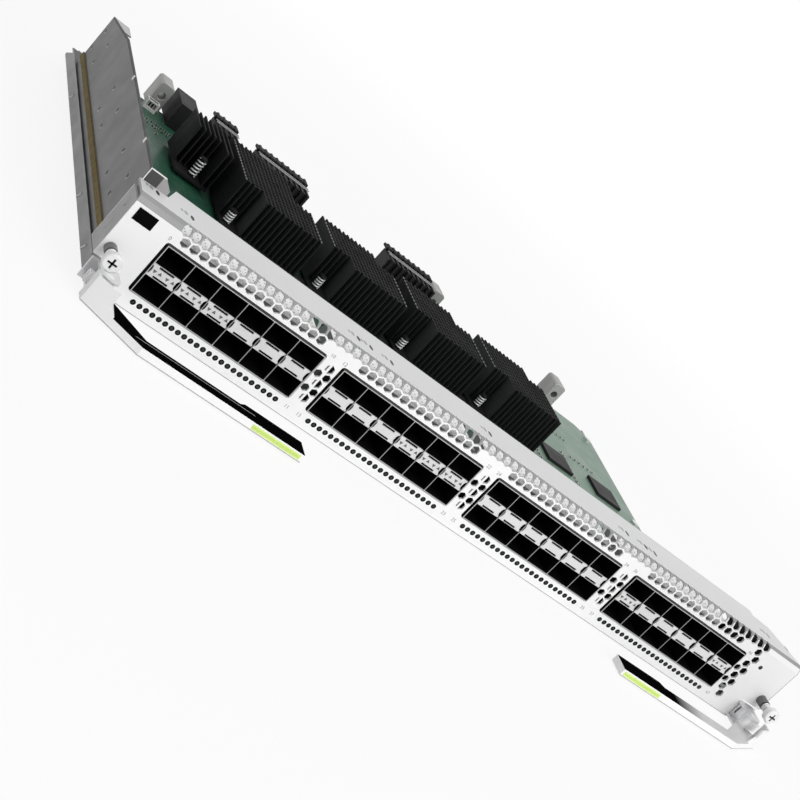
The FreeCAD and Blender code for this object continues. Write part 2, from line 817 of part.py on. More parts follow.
def lever_shape():
    """A folded lever: arm plate, front wall, raised root wall, hub and jaw."""
    end_x = left_end + size("lever_end_inset")
    end_y = -size("lever_end_reach")
    knee_x = left_end + size("lever_knee")
    front = -size("lever_reach")
    tip_x = left_end + size("lever_length")
    slope_x = knee_x - end_x
    slope_y = front - end_y
    run = math.hypot(slope_x, slope_y)
    along = (slope_x / run, slope_y / run)
    inward = (-slope_y / run, slope_x / run)
    depth = size("lever_depth")
    back = front + depth
    tip_back = front + size("lever_tip_depth")
    tip_start = tip_x - size("lever_tip_length")
    # Rear edge of the sloped part, parallel to its front edge
    inner_knee_x = knee_x + depth * math.tan(math.atan2(-slope_y, slope_x) / 2)
    root_back = (end_x + inward[0] * (depth + 3), end_y + inward[1] * (depth + 3))
    plate_z = lever_top - lever_gauge
    plate = prism([
        Vector(end_x, end_y, plate_z),
        Vector(knee_x, front, plate_z),
        Vector(tip_x, front, plate_z),
        Vector(tip_x, tip_back, plate_z),
        Vector(tip_start, tip_back, plate_z),
        Vector(tip_start - 3, back, plate_z),
        Vector(inner_knee_x, back, plate_z),
        Vector(pivot_x + size("hub_radius"), pivot_y + 1, plate_z),
        Vector(pivot_x, pivot_y + size("hub_radius") - 0.5, plate_z),
        Vector(pivot_x - size("hub_radius"), pivot_y, plate_z),
        Vector(end_x, end_y + 6, plate_z),
    ], lever_gauge)
    # Front wall: along the arm, then along the sloped root
    arm_wall = block(knee_x, tip_x, front, front + lever_gauge, lever_bottom, lever_top)
    tip_wall = block(tip_x - lever_gauge, tip_x, front, tip_back, lever_bottom, lever_top)
    back_wall = block(inner_knee_x + 1, tip_start - 3, back - lever_gauge, back,
                      lever_bottom + 1, lever_top)
    root_base = [
        Vector(end_x, end_y, lever_bottom),
        Vector(knee_x, front, lever_bottom),
        Vector(knee_x, front + lever_gauge, lever_bottom),
        Vector(end_x + inward[0] * lever_gauge, end_y + inward[1] * lever_gauge, lever_bottom),
    ]
    root_wall = prism(root_base, size("lever_height"))
    # Raised part of the root wall with a sloping step down to the arm
    raised = size("lever_root_length")
    step = 4.0
    low = lever_top - lever_gauge
    high = lever_bottom + size("lever_root_height")
    profile = [(0, low), (raised + step, low), (raised + step, lever_top),
               (raised, high - 5.0), (raised, high), (0, high)]
    face = Part.Face(Part.makePolygon(
        [Vector(end_x + along[0] * d, end_y + along[1] * d, z) for d, z in profile]
        + [Vector(end_x, end_y, low)]))
    raised_wall = face.extrude(Vector(inward[0] * lever_gauge, inward[1] * lever_gauge, 0))
    end_wall = block(end_x, end_x + lever_gauge, end_y + 0.2, end_y + 6, lever_bottom, high)
    hub_top = lever_bottom + size("lever_root_height") - 2 * size("ear_gauge") - 0.4
    hub = rod(size("hub_radius"), Vector(pivot_x, pivot_y, low), Vector(0, 0, 1), hub_top - low)
    jaw = block(pivot_x - size("jaw_reach"), pivot_x, pivot_y - size("jaw_width") / 2,
                pivot_y + size("jaw_width") / 2, low + 1.6, hub_top - 1.0)
    jaw_slot = block(pivot_x - size("jaw_reach") - 1, pivot_x - size("hub_radius") - 1.0,
                     pivot_y - size("jaw_width") / 6, pivot_y + size("jaw_width") / 6,
                     low, hub_top)
    solid = joined([plate, arm_wall, tip_wall, back_wall, root_wall, raised_wall, end_wall,
                    hub, jaw])
    bore = rod(size("pivot_radius") + size("pivot_clearance"),
               Vector(pivot_x, pivot_y, low - 1), Vector(0, 0, 1), hub_top - low + 2)
    return solid.cut([bore, jaw_slot]), hub_top


lever_solid, hub_top = lever_shape()


def bracket_shape():
    """The pivot bracket: a plate in the panel's notch, two ears for the pin and a foot."""
    ear = size("ear_gauge")
    radius = size("ear_radius")
    low = floor_top
    high = hub_top + 0.2
    plate_left = left_end + size("bracket_margin")
    plate_right = left_end + size("notch_width") - size("bracket_margin") / 2
    pieces = [block(plate_left, plate_right, 0, gauge, low, high + ear)]
    for z in (low, high):
        pieces.append(block(pivot_x - radius, pivot_x + radius, pivot_y, 0, z, z + ear))
        pieces.append(rod(radius, Vector(pivot_x, pivot_y, z), Vector(0, 0, 1), ear))
    pieces.append(block(tray_left + tray_gauge + size("fit_gap"), plate_right, 0,
                        size("bracket_foot"), low, low + ear))
    solid = joined(pieces)
    bore = rod(size("pivot_radius"), Vector(pivot_x, pivot_y, low - 1), Vector(0, 0, 1),
               high - low + 4)
    slot = block(pivot_x + 0.4, pivot_x + 1.8, -1, gauge + 1, low + 3, high - 1)
    return solid.cut([bore, slot]), low, high + ear


bracket_solid, bracket_low, bracket_high = bracket_shape()
pin_solid = rod(size("pivot_radius"), Vector(pivot_x, pivot_y, bracket_low), Vector(0, 0, 1),
                bracket_high - bracket_low)
grip_x1 = left_end + size("lever_length") - 1.5
grip_middle = (lever_bottom + lever_top) / 2
grip_solid = block(grip_x1 - size("grip_length"), grip_x1,
                   -size("lever_reach") - size("grip_thickness"), -size("lever_reach"),
                   grip_middle - size("grip_height") / 2, grip_middle + size("grip_height") / 2)
for name, solid in (("lever", lever_solid), ("lever_bracket", bracket_solid),
                    ("lever_pin", pin_solid), ("lever_grip", grip_solid)):
    shape_part("left_" + name, solid)
    shape_part("right_" + name, mirrored(solid))

# Captive screws: ferrule in the panel, return spring, washer and cross-head screw
screw_x = left_end + size("screw_inset")
axis = Vector(0, 1, 0)


def on_screw_axis(y):
    """A point on the left screw's axis."""
    return Vector(screw_x, y, size("screw_level"))


head_front = -size("screw_proud")
head_rear = head_front + size("screw_head_length")
washer_front = head_rear + size("fit_gap")
spring_front = washer_front + size("washer_thickness")
ferrule_front = -size("ferrule_length")
ferrule_rear = gauge + 0.8
head = rod(size("screw_head_radius"), on_screw_axis(head_front), axis, size("screw_head_length"))
rims = [e for e in head.Edges if abs(e.BoundBox.YMin - head_front) < 0.01 and e.BoundBox.YLength < 0.1]
head = head.makeChamfer(0.6, rims)
arm = 0.55 * size("screw_head_radius")
slot_half = 0.5
cross = [
    block(screw_x - arm, screw_x + arm, head_front - 1, head_front + 1.4,
          size("screw_level") - slot_half, size("screw_level") + slot_half),
    block(screw_x - slot_half, screw_x + slot_half, head_front - 1, head_front + 1.4,
          size("screw_level") - arm, size("screw_level") + arm),
]
thread_front = ferrule_rear + 0.6
shank = rod(size("shank_radius"), on_screw_axis(head_rear), axis, thread_front - head_rear)
thread = rod(size("thread_radius"), on_screw_axis(thread_front), axis,
             gauge + size("screw_tail") - thread_front)
screw_solid = head.fuse([shank, thread]).removeSplitter().cut(cross)
bore_radius = size("shank_radius") + size("screw_clearance")
washer_solid = tube(size("ferrule_radius"), bore_radius, on_screw_axis(washer_front), axis,
                    size("washer_thickness"))
spring_solid = tube(size("ferrule_radius") - 0.3, size("shank_radius") + 0.3,
                    on_screw_axis(spring_front), axis, ferrule_front - spring_front)
ferrule_solid = tube(size("ferrule_radius"), bore_radius, on_screw_axis(ferrule_front), axis,
                     ferrule_rear - ferrule_front)
for name, solid in (("screw", screw_solid), ("screw_washer", washer_solid),
                    ("screw_spring", spring_solid), ("screw_ferrule", ferrule_solid)):
    shape_part("left_" + name, solid)
    shape_part("right_" + name, mirrored(solid))

# Taller parts soldered to the board: coils, capacitors and controller packages
coil = size("coil_width")
components = []
for index in range(MAIN_SINKS):
    for step in range(3):
        x = first_left + index * size("sink_pitch") + (step + 0.5) * size("sink_width") / 3
        y = size("sink_front") - size("coil_setback")
        components.append(block(x - coil / 2, x + coil / 2, y - coil / 2, y + coil / 2,
                                board_top, board_top + size("coil_height")))
sinks_right = first_left + (MAIN_SINKS - 1) * size("sink_pitch") + size("sink_width")
space = board_right - sinks_right
for index in range(2):
    x = sinks_right + (index + 0.75) * space / 2.4
    y = size("sink_front") + size("sink_depth") / 2
    half = size("package_share") * space / 2
    components.append(block(x - half, x + half, y - half, y + half, board_top,
                            board_top + size("chip_height")))
for index in range(2 * BLOCKS):
    x = block_left(0) + (index + 0.5) * block_pitch / 2
    y = cage_rear + size("coil_setback")
    components.append(block(x - coil / 2, x + coil / 2, y - coil / 2, y + coil / 2,
                            board_top, board_top + size("chip_height")))
shape_part("board_components", Part.makeCompound(components))

# Label plate on the panel's upper left corner
label_x = left_end + size("label_inset")
label_level = size("panel_height") - size("label_drop")
shape_part("label_plate", block(label_x, label_x + size("label_width"), -size("label_thickness"), 0,
                                label_level, label_level + size("label_height")))

doc.recompute()
for feature in finished:
    if "Invalid" in feature.State or "Error" in feature.State:
        raise RuntimeError("%s has an error" % feature.Label)
    shape = feature.Shape
    if shape.isNull() or not shape.isValid() or not shape.Solids:
        raise RuntimeError("%s isn't a valid solid" % feature.Label)
    shape.exportStep("parts/%s.step" % feature.Label)
for thing in doc.Objects:
    if "Invalid" in thing.State or "Error" in thing.State:
        raise RuntimeError("%s has an error" % thing.Name)
print(len(finished), "sub-parts")
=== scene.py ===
import math

import bmesh
import bpy
from mathutils import Matrix, Vector


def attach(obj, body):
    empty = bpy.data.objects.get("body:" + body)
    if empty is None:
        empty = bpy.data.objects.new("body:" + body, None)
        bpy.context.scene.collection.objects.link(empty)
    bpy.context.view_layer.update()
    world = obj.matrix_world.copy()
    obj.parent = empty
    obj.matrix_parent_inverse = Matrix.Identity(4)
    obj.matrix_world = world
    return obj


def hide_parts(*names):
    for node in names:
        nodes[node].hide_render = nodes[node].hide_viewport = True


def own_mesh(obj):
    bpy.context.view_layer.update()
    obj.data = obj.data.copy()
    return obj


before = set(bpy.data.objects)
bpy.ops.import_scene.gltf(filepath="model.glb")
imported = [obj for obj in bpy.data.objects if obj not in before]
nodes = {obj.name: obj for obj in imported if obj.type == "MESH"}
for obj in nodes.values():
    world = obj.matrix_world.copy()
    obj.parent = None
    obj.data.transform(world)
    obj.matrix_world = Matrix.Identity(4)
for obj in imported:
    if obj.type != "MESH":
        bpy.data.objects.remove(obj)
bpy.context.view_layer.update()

# The studio: a pale floor under the card, soft light from the front, the top and the right,
# and a white surround. The camera stands low at the card's left front corner, rolled as the
# photograph is.

camera = bpy.data.objects.new("camera", bpy.data.cameras.new("camera"))
bpy.context.scene.collection.objects.link(camera)
camera.data.lens = 73.905
camera.data.sensor_width = 36.0
camera.data.clip_start = 0.05
camera_right = Vector((0.71940351, -0.19675838, 0.66614168))
camera_up = Vector((-0.5129392, 0.4961706, 0.70050561))
camera_back = Vector((-0.46835027, -0.84563637, 0.25602179))
camera.matrix_world = Matrix.Translation((-0.40566, -0.75554, 0.22209)) @ Matrix(
    (camera_right, camera_up, camera_back)
).transposed().to_4x4()
bpy.context.scene.camera = camera
bpy.context.scene.view_settings.view_transform = "Standard"


def new_material(name, color, roughness, metallic=0.0):
    """A material with its shader's plain values set, and its tree to add to."""
    material = bpy.data.materials.new(name)
    material.use_nodes = True
    shader = material.node_tree.nodes["Principled BSDF"]
    shader.inputs["Base Color"].default_value = (*color, 1.0)
    shader.inputs["Roughness"].default_value = roughness
    shader.inputs["Metallic"].default_value = metallic
    return material, material.node_tree, shader


def soft_lamp(name, place, aim, size, power):
    """A square soft box that points at a spot."""
    lamp = bpy.data.objects.new(name, bpy.data.lights.new(name, "AREA"))
    lamp.data.size = size
    lamp.data.energy = power
    lamp.location = place
    lamp.rotation_euler = (Vector(aim) - Vector(place)).to_track_quat("-Z", "Y").to_euler()
    bpy.context.scene.collection.objects.link(lamp)
    return lamp


soft_lamp("front_box", (0.45, -1.7, 0.75), (0.0, 0.0, 0.02), 1.3, 20.0)
soft_lamp("top_box", (0.2, 0.1, 1.7), (0.0, 0.0, 0.0), 1.6, 9.0)

world = bpy.data.worlds.new("surround")
bpy.context.scene.world = world
world.use_nodes = True
surround = world.node_tree
ground = surround.nodes["Background"]
ground.inputs["Strength"].default_value = 0.26
ground.inputs["Color"].default_value = (1.0, 1.0, 1.0, 1.0)
white = surround.nodes.new("ShaderNodeBackground")
white.inputs["Strength"].default_value = 1.0
white.inputs["Color"].default_value = (1.0, 1.0, 1.0, 1.0)
rays = surround.nodes.new("ShaderNodeLightPath")
choice = surround.nodes.new("ShaderNodeMixShader")
seen = surround.nodes.new("ShaderNodeMath")
seen.operation = "MAXIMUM"
mirrored = surround.nodes.new("ShaderNodeMath")
mirrored.operation = "MAXIMUM"
surround.links.new(rays.outputs["Is Camera Ray"], seen.inputs[0])
surround.links.new(rays.outputs["Is Transmission Ray"], seen.inputs[1])
surround.links.new(seen.outputs[0], mirrored.inputs[0])
surround.links.new(rays.outputs["Is Glossy Ray"], mirrored.inputs[1])
surround.links.new(mirrored.outputs[0], choice.inputs[0])
surround.links.new(ground.outputs[0], choice.inputs[1])
surround.links.new(white.outputs[0], choice.inputs[2])
surround.links.new(choice.outputs[0], surround.nodes["World Output"].inputs["Surface"])

floor_mesh = bpy.data.meshes.new("floor")
build = bmesh.new()
bmesh.ops.create_grid(build, x_segments=1, y_segments=1, size=12.0)
build.to_mesh(floor_mesh)
build.free()
floor = bpy.data.objects.new("floor", floor_mesh)
floor.location.z = -0.0006
bpy.context.scene.collection.objects.link(floor)
paper, paper_tree, paper_shader = new_material("paper", (0.92, 0.92, 0.92), 0.9)
glow = paper_tree.nodes.new("ShaderNodeEmission")
glow.inputs["Strength"].default_value = 1.0
paper_rays = paper_tree.nodes.new("ShaderNodeLightPath")
paper_share = paper_tree.nodes.new("ShaderNodeMath")
paper_share.operation = "MULTIPLY"
paper_place = paper_tree.nodes.new("ShaderNodeTexCoord")
paper_length = paper_tree.nodes.new("ShaderNodeVectorMath")
paper_length.operation = "LENGTH"
paper_fade = paper_tree.nodes.new("ShaderNodeMapRange")
paper_fade.inputs["From Min"].default_value = 0.35
paper_fade.inputs["From Max"].default_value = 1.0
paper_fade.inputs["To Min"].default_value = 0.88
paper_fade.inputs["To Max"].default_value = 1.0
paper_tree.links.new(paper_place.outputs["Object"], paper_length.inputs[0])
paper_tree.links.new(paper_length.outputs["Value"], paper_fade.inputs["Value"])
paper_tree.links.new(paper_fade.outputs[0], paper_share.inputs[1])
paper_seen = paper_tree.nodes.new("ShaderNodeMath")
paper_seen.operation = "MAXIMUM"
paper_mix = paper_tree.nodes.new("ShaderNodeMixShader")
paper_tree.links.new(paper_rays.outputs["Is Camera Ray"], paper_seen.inputs[0])
paper_tree.links.new(paper_rays.outputs["Is Glossy Ray"], paper_seen.inputs[1])
paper_tree.links.new(paper_seen.outputs[0], paper_share.inputs[0])
paper_tree.links.new(paper_share.outputs[0], paper_mix.inputs[0])
paper_tree.links.new(paper_shader.outputs[0], paper_mix.inputs[1])
paper_tree.links.new(glow.outputs[0], paper_mix.inputs[2])
paper_tree.links.new(paper_mix.outputs[0], paper_tree.nodes["Material Output"].inputs["Surface"])
floor_mesh.materials.append(paper)

# Tray: a shallow folded pan of plated steel under the board, with an outward ledge on the
# left. Its sheet carries a rolled grain, and three bright seams run down its left wall.


def add(tree, kind, **values):
    """A shader node with some of its settings or inputs given by name."""
    node = tree.nodes.new(kind)
    for key, value in values.items():
        if hasattr(node, key):
            setattr(node, key, value)
        else:
            node.inputs[key.replace("_", " ")].default_value = value
    return node


def group_tree(name, inputs, outputs):
    """An empty shader group with number or colour sockets."""
    tree = bpy.data.node_groups.new(name, "ShaderNodeTree")
    for label, kind, value in inputs:
        socket = tree.interface.new_socket(label, in_out="INPUT", socket_type=kind)
        socket.default_value = value
    for label, kind in outputs:
        tree.interface.new_socket(label, in_out="OUTPUT", socket_type=kind)
    return tree, tree.nodes.new("NodeGroupInput"), tree.nodes.new("NodeGroupOutput")


NUMBER = "NodeSocketFloat"
COLOR = "NodeSocketColor"
grain, grain_in, grain_out = group_tree(
    "rolled_grain",
    [("Color", COLOR, (0.8, 0.8, 0.8, 1)), ("Smudge", NUMBER, 0.1), ("Roughness", NUMBER, 0.3),
     ("Scale", NUMBER, 60.0)],
    [("Color", COLOR), ("Roughness", NUMBER), ("Height", NUMBER)],
)
place = add(grain, "ShaderNodeTexCoord")
stretch = add(grain, "ShaderNodeMapping")
stretch.inputs["Scale"].default_value = (0.06, 1.0, 1.0)
grain.links.new(place.outputs["Object"], stretch.inputs["Vector"])
lines = add(grain, "ShaderNodeTexNoise", Scale=2600.0, Detail=2.0)
grain.links.new(stretch.outputs[0], lines.inputs["Vector"])
smudge = add(grain, "ShaderNodeTexNoise", Detail=4.0, Roughness=0.6)
grain.links.new(place.outputs["Object"], smudge.inputs["Vector"])
grain.links.new(grain_in.outputs["Scale"], smudge.inputs["Scale"])
spread = add(grain, "ShaderNodeMapRange")
spread.inputs["From Min"].default_value = 0.35
spread.inputs["From Max"].default_value = 0.7
grain.links.new(smudge.outputs["Fac"], spread.inputs["Value"])
darken = add(grain, "ShaderNodeMath", operation="MULTIPLY")
grain.links.new(spread.outputs[0], darken.inputs[0])
grain.links.new(grain_in.outputs["Smudge"], darken.inputs[1])
tone = add(grain, "ShaderNodeMix", data_type="RGBA", blend_type="MULTIPLY")
tone.inputs["B"].default_value = (0.5, 0.5, 0.5, 1)
grain.links.new(darken.outputs[0], tone.inputs["Factor"])
grain.links.new(grain_in.outputs["Color"], tone.inputs["A"])
rougher = add(grain, "ShaderNodeMath", operation="MULTIPLY_ADD")
rougher.inputs[1].default_value = 0.15
grain.links.new(spread.outputs[0], rougher.inputs[0])
grain.links.new(grain_in.outputs["Roughness"], rougher.inputs[2])
grain.links.new(tone.outputs["Result"], grain_out.inputs["Color"])
grain.links.new(rougher.outputs[0], grain_out.inputs["Roughness"])
grain.links.new(lines.outputs["Fac"], grain_out.inputs["Height"])


def grained(name, color, roughness, metallic, smudge_amount, bump=0.02, scale=60.0, gloss=0.5):
    """A metal or moulded finish with the shared grain in its colour, roughness and bump."""
    material, tree, shader = new_material(name, color, roughness, metallic)
    shader.inputs["Specular IOR Level"].default_value = gloss
    box = tree.nodes.new("ShaderNodeGroup")
    box.node_tree = grain
    box.inputs["Color"].default_value = (*color, 1)
    box.inputs["Roughness"].default_value = roughness
    box.inputs["Smudge"].default_value = smudge_amount
    box.inputs["Scale"].default_value = scale
    ridge = add(tree, "ShaderNodeBump", Strength=bump, Distance=0.0001)
    tree.links.new(box.outputs["Color"], shader.inputs["Base Color"])
    tree.links.new(box.outputs["Roughness"], shader.inputs["Roughness"])
    tree.links.new(box.outputs["Height"], ridge.inputs["Height"])
    tree.links.new(ridge.outputs[0], shader.inputs["Normal"])
    return material, tree, shader


def dress(material, *names):
    """Gives CAD pieces a finish."""
    for name in names:
        mesh = nodes[name].data
        mesh.materials.clear()
        mesh.materials.append(material)


tray_sheet, tray_tree, tray_shader = grained("tray_sheet", (0.27, 0.27, 0.275), 0.42, 0.4, 0.1)
dress(tray_sheet, "base_tray")


def recolor(tree, shader, mask, color):
    """Lays another colour over a finish where a mask is 1."""
    over = add(tree, "ShaderNodeMix", data_type="RGBA")
    over.inputs["B"].default_value = (*color, 1)
    tree.links.new(mask, over.inputs["Factor"])
    tree.links.new(shader.inputs["Base Color"].links[0].from_socket, over.inputs["A"])
    tree.links.new(over.outputs["Result"], shader.inputs["Base Color"])


def beyond(tree, source, axis, limit, below=False):
    """A mask that is 1 where a coordinate or a normal's part passes a limit."""
    kind = "ShaderNodeTexCoord" if source == "Object" else "ShaderNodeNewGeometry"
    reader = add(tree, kind)
    parts = add(tree, "ShaderNodeSeparateXYZ")
    test = add(tree, "ShaderNodeMath", operation="LESS_THAN" if below else "GREATER_THAN")
    test.inputs[1].default_value = limit
    tree.links.new(reader.outputs[source], parts.inputs[0])
    tree.links.new(parts.outputs[axis], test.inputs[0])
    return test.outputs[0]


def joint_mask(tree, first, second, operation="MULTIPLY"):
    """Two masks joined, by default where both hold."""
    join = add(tree, "ShaderNodeMath", operation=operation)
    tree.links.new(first, join.inputs[0])
    tree.links.new(second, join.inputs[1])
    return join.outputs[0]


# The ledge's narrow top face is painted near black, as painted shade in the gap by the cloth strip.
ledge_top_painted_shade = joint_mask(tray_tree, beyond(tray_tree, "Object", "Z", 0.0126),
                       beyond(tray_tree, "Normal", "Z", 0.5))
recolor(tray_tree, tray_shader, ledge_top_painted_shade, (0.01, 0.01, 0.01))


def add_box(build, low, high, bevel=0.0):
    """A box between two corners in millimetres, its edges rounded by the bevel."""
    middle = Vector([(a + b) / 2000 for a, b in zip(low, high)])
    spans = Matrix.Diagonal([(b - a) / 1000 for a, b in zip(low, high)] + [1])
    cube = bmesh.ops.create_cube(build, size=1.0, matrix=Matrix.Translation(middle) @ spans)
    if bevel:
        edges = list({edge for vert in cube["verts"] for edge in vert.link_edges})
        bmesh.ops.bevel(build, geom=edges, offset=bevel / 1000, segments=1, profile=0.5,
                        affect="EDGES", material=-1)


def add_rod(build, middle, axis, radius, length, sides=16, tip=None):
    """A round bar or cone in millimetres: its middle, axis, radius and length."""
    turn = Vector((0, 0, 1)).rotation_difference(Vector(axis)).to_matrix().to_4x4()
    far = radius if tip is None else tip
    rod = bmesh.ops.create_cone(
        build, cap_ends=True, cap_tris=False, segments=sides, radius1=radius / 1000,
        radius2=far / 1000, depth=length / 1000,
        matrix=Matrix.Translation(Vector(middle) / 1000) @ turn,
    )
    return rod["verts"]


def made(name, build, materials, body="card", smooth=False):
    """Turns a bmesh into a finished piece that rides on a body."""
    bmesh.ops.recalc_face_normals(build, faces=build.faces)
    mesh = bpy.data.meshes.new(name)
    build.to_mesh(mesh)
    build.free()
    for material in materials:
        mesh.materials.append(material)
    if smooth:
        mesh.shade_smooth()
    piece = bpy.data.objects.new(name, mesh)
    bpy.context.scene.collection.objects.link(piece)
    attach(piece, body)
    return piece


weld, _, _ = grained("bright_weld", (0.75, 0.75, 0.75), 0.3, 0.3, 0.1)
build = bmesh.new()
for y in (70.5, -59.0, -114.5):
    add_rod(build, (-211.5, y, 2.2), (0, -0.64, 0.77), 0.4, 5.0, 8)
made("tray_seams", build, [weld])

# Side wall: a bent plate of grey plated steel on the tray's left ledge, held by rows of small
# flush rivets. Its grey is set dark as painted shade on its left-facing side, with more painted
# shade, light and highlights on its top edge, rivets and tabs. A tan conductive cloth strip over
# foam runs along its foot.

wall_sheet, wall_tree, wall_shader = grained("wall_sheet", (0.165, 0.165, 0.168), 0.45, 0.25, 0.02,
                                             bump=0.003)
# A near-black band along the wall's top edge, both level and along the rear slope, is painted
# shade.
rear_slope = add(wall_tree, "ShaderNodeTexCoord")
slope_parts = add(wall_tree, "ShaderNodeSeparateXYZ")
wall_tree.links.new(rear_slope.outputs["Object"], slope_parts.inputs[0])
slope_height = add(wall_tree, "ShaderNodeMath", operation="MULTIPLY_ADD")
slope_height.inputs[1].default_value = 6.8 / 54.0
wall_tree.links.new(slope_parts.outputs["Y"], slope_height.inputs[0])
wall_tree.links.new(slope_parts.outputs["Z"], slope_height.inputs[2])
near_slope = add(wall_tree, "ShaderNodeMath", operation="GREATER_THAN")
near_slope.inputs[1].default_value = 0.0444 + 0.094 * 6.8 / 54.0 - 0.0011
wall_tree.links.new(slope_height.outputs[0], near_slope.inputs[0])
top_line = joint_mask(wall_tree, beyond(wall_tree, "Object", "Z", 0.0501),
                      near_slope.outputs[0], "MAXIMUM")
wall_top_edge_shade = joint_mask(wall_tree, top_line, beyond(wall_tree, "Object", "X", -0.2141, below=True))
recolor(wall_tree, wall_shader, wall_top_edge_shade, (0.006, 0.006, 0.006))
# The tabs' top faces are painted lighter, as painted light from above.
tab_top = joint_mask(wall_tree, beyond(wall_tree, "Normal", "Z", 0.5),
                     beyond(wall_tree, "Object", "Y", 0.078))
tab_top_painted_light = joint_mask(wall_tree, tab_top, beyond(wall_tree, "Object", "X", -0.2141))
recolor(wall_tree, wall_shader, tab_top_painted_light, (0.55, 0.55, 0.55))
# The corner tab's front is painted near black as painted shade, its right part paler as painted
# light, and its top and left edges pale as a painted highlight.
corner_front = joint_mask(wall_tree, beyond(wall_tree, "Normal", "Y", -0.7, below=True),
                          beyond(wall_tree, "Object", "Z", 0.0448))
recolor(wall_tree, wall_shader, corner_front, (0.05, 0.05, 0.05))
corner_pale = joint_mask(wall_tree, corner_front, beyond(wall_tree, "Object", "X", -0.2082))
recolor(wall_tree, wall_shader, corner_pale, (0.34, 0.33, 0.33))
corner_edge = joint_mask(wall_tree, beyond(wall_tree, "Object", "Z", 0.0507),
                         beyond(wall_tree, "Object", "X", -0.2146, below=True), "MAXIMUM")
corner_edge_highlight = joint_mask(wall_tree, corner_front, corner_edge)
recolor(wall_tree, wall_shader, corner_edge_highlight, (0.85, 0.85, 0.85))
dress(wall_sheet, "side_wall")
# A near-black finish for the flange's holes, and for painted shade in the rivets and the pin
# header.
dark_hole_and_shade, _, _ = grained("dark_hole_and_shade", (0.02, 0.02, 0.02), 0.6, 0.0, 0.1)
build = bmesh.new()
for z, rows in ((36.9, (87.0, 64.5, -0.5, -30.7, -80.4, -109.6)),
                (25.2, (88.8, 65.1, -3.7, -26.4, -83.0, -105.6))):
    for y in rows:
        add_rod(build, (-215.06, y, z), (-1, 0, 0), 1.5, 0.14, 16, 1.1)
rivet_faces = len(build.faces)
# A near-black spot set off-centre in each rivet is painted shade in its dip.
for z, rows in ((36.9, (87.0, 64.5, -0.5, -30.7, -80.4, -109.6)),
                (25.2, (88.8, 65.1, -3.7, -26.4, -83.0, -105.6))):
    for y in rows:
        add_rod(build, (-215.14, y + 0.3, z + 0.25), (-1, 0, 0), 1.05, 0.08, 12)
build.faces.ensure_lookup_table()
for face in build.faces[rivet_faces:]:
    face.material_index = 1
rivet_metal, _, _ = grained("rivet_metal", (0.34, 0.34, 0.34), 0.35, 0.5, 0.1)
made("wall_rivets", build, [rivet_metal, dark_hole_and_shade])
build = bmesh.new()
for y in (-15.0, -94.5):
    add_box(build, (-215.25, y - 1.3, 48.7), (-213.9, y + 1.3, 51.18), 0.2)
made("wall_clips", build, [weld])

gasket, gasket_tree, gasket_shader = grained("gasket_cloth", (0.22, 0.165, 0.06), 0.8, 0.0, 0.4,
                                             0.3, 300.0)
weave = add(gasket_tree, "ShaderNodeTexWave", Scale=900.0, Distortion=1.5)
weave.bands_direction = "Y"
weave_place = add(gasket_tree, "ShaderNodeTexCoord")
gasket_tree.links.new(weave_place.outputs["Object"], weave.inputs["Vector"])
weave_ridge = add(gasket_tree, "ShaderNodeBump", Strength=0.5, Distance=0.0002)
gasket_tree.links.new(weave.outputs["Fac"], weave_ridge.inputs["Height"])
gasket_tree.links.new(weave_ridge.outputs[0], gasket_shader.inputs["Normal"])
dress(gasket, "emi_gasket")

# Main board: glass laminate under green solder mask, with copper areas that show through as
# paler patches. It stands on hexagon pillars and is held by pan-head screws.

board, board_tree, board_shader = grained("solder_mask", (0.012, 0.09, 0.048), 0.33, 0.0, 0.25)
board_place = add(board_tree, "ShaderNodeTexCoord")
patches = add(board_tree, "ShaderNodeTexBrick", Scale=46.0)
patches.inputs["Mortar Size"].default_value = 0.012
patches.inputs["Color1"].default_value = (0.008, 0.058, 0.031, 1)
patches.inputs["Color2"].default_value = (0.013, 0.082, 0.045, 1)
patches.inputs["Mortar"].default_value = (0.03, 0.12, 0.075, 1)
board_tree.links.new(board_place.outputs["Object"], patches.inputs["Vector"])
board_split = add(board_tree, "ShaderNodeSeparateXYZ")
board_tree.links.new(board_place.outputs["Object"], board_split.inputs[0])
# The board is painted paler toward its right end, as painted light.
paler_right_painted_light = add(board_tree, "ShaderNodeMapRange")
paler_right_painted_light.inputs["From Min"].default_value = 0.085
paler_right_painted_light.inputs["From Max"].default_value = 0.13
board_tree.links.new(board_split.outputs["X"], paler_right_painted_light.inputs["Value"])
board_color = add(board_tree, "ShaderNodeMix", data_type="RGBA")
board_color.inputs["B"].default_value = (0.15, 0.25, 0.185, 1)
board_tree.links.new(paler_right_painted_light.outputs[0], board_color.inputs["Factor"])
board_tree.links.new(patches.outputs["Color"], board_color.inputs["A"])
board_tree.links.new(board_color.outputs["Result"], board_shader.inputs["Base Color"])
dress(board, "main_board")
steel, _, _ = grained("spring_wire", (0.72, 0.72, 0.72), 0.25, 0.9, 0.1)
dress(steel, "standoffs", "board_screws")

# Small soldered parts: chip resistors and capacitors with bright end caps, in rows round the
# connectors, the chips and the ports. Each is a tiny block with two tinned ends.

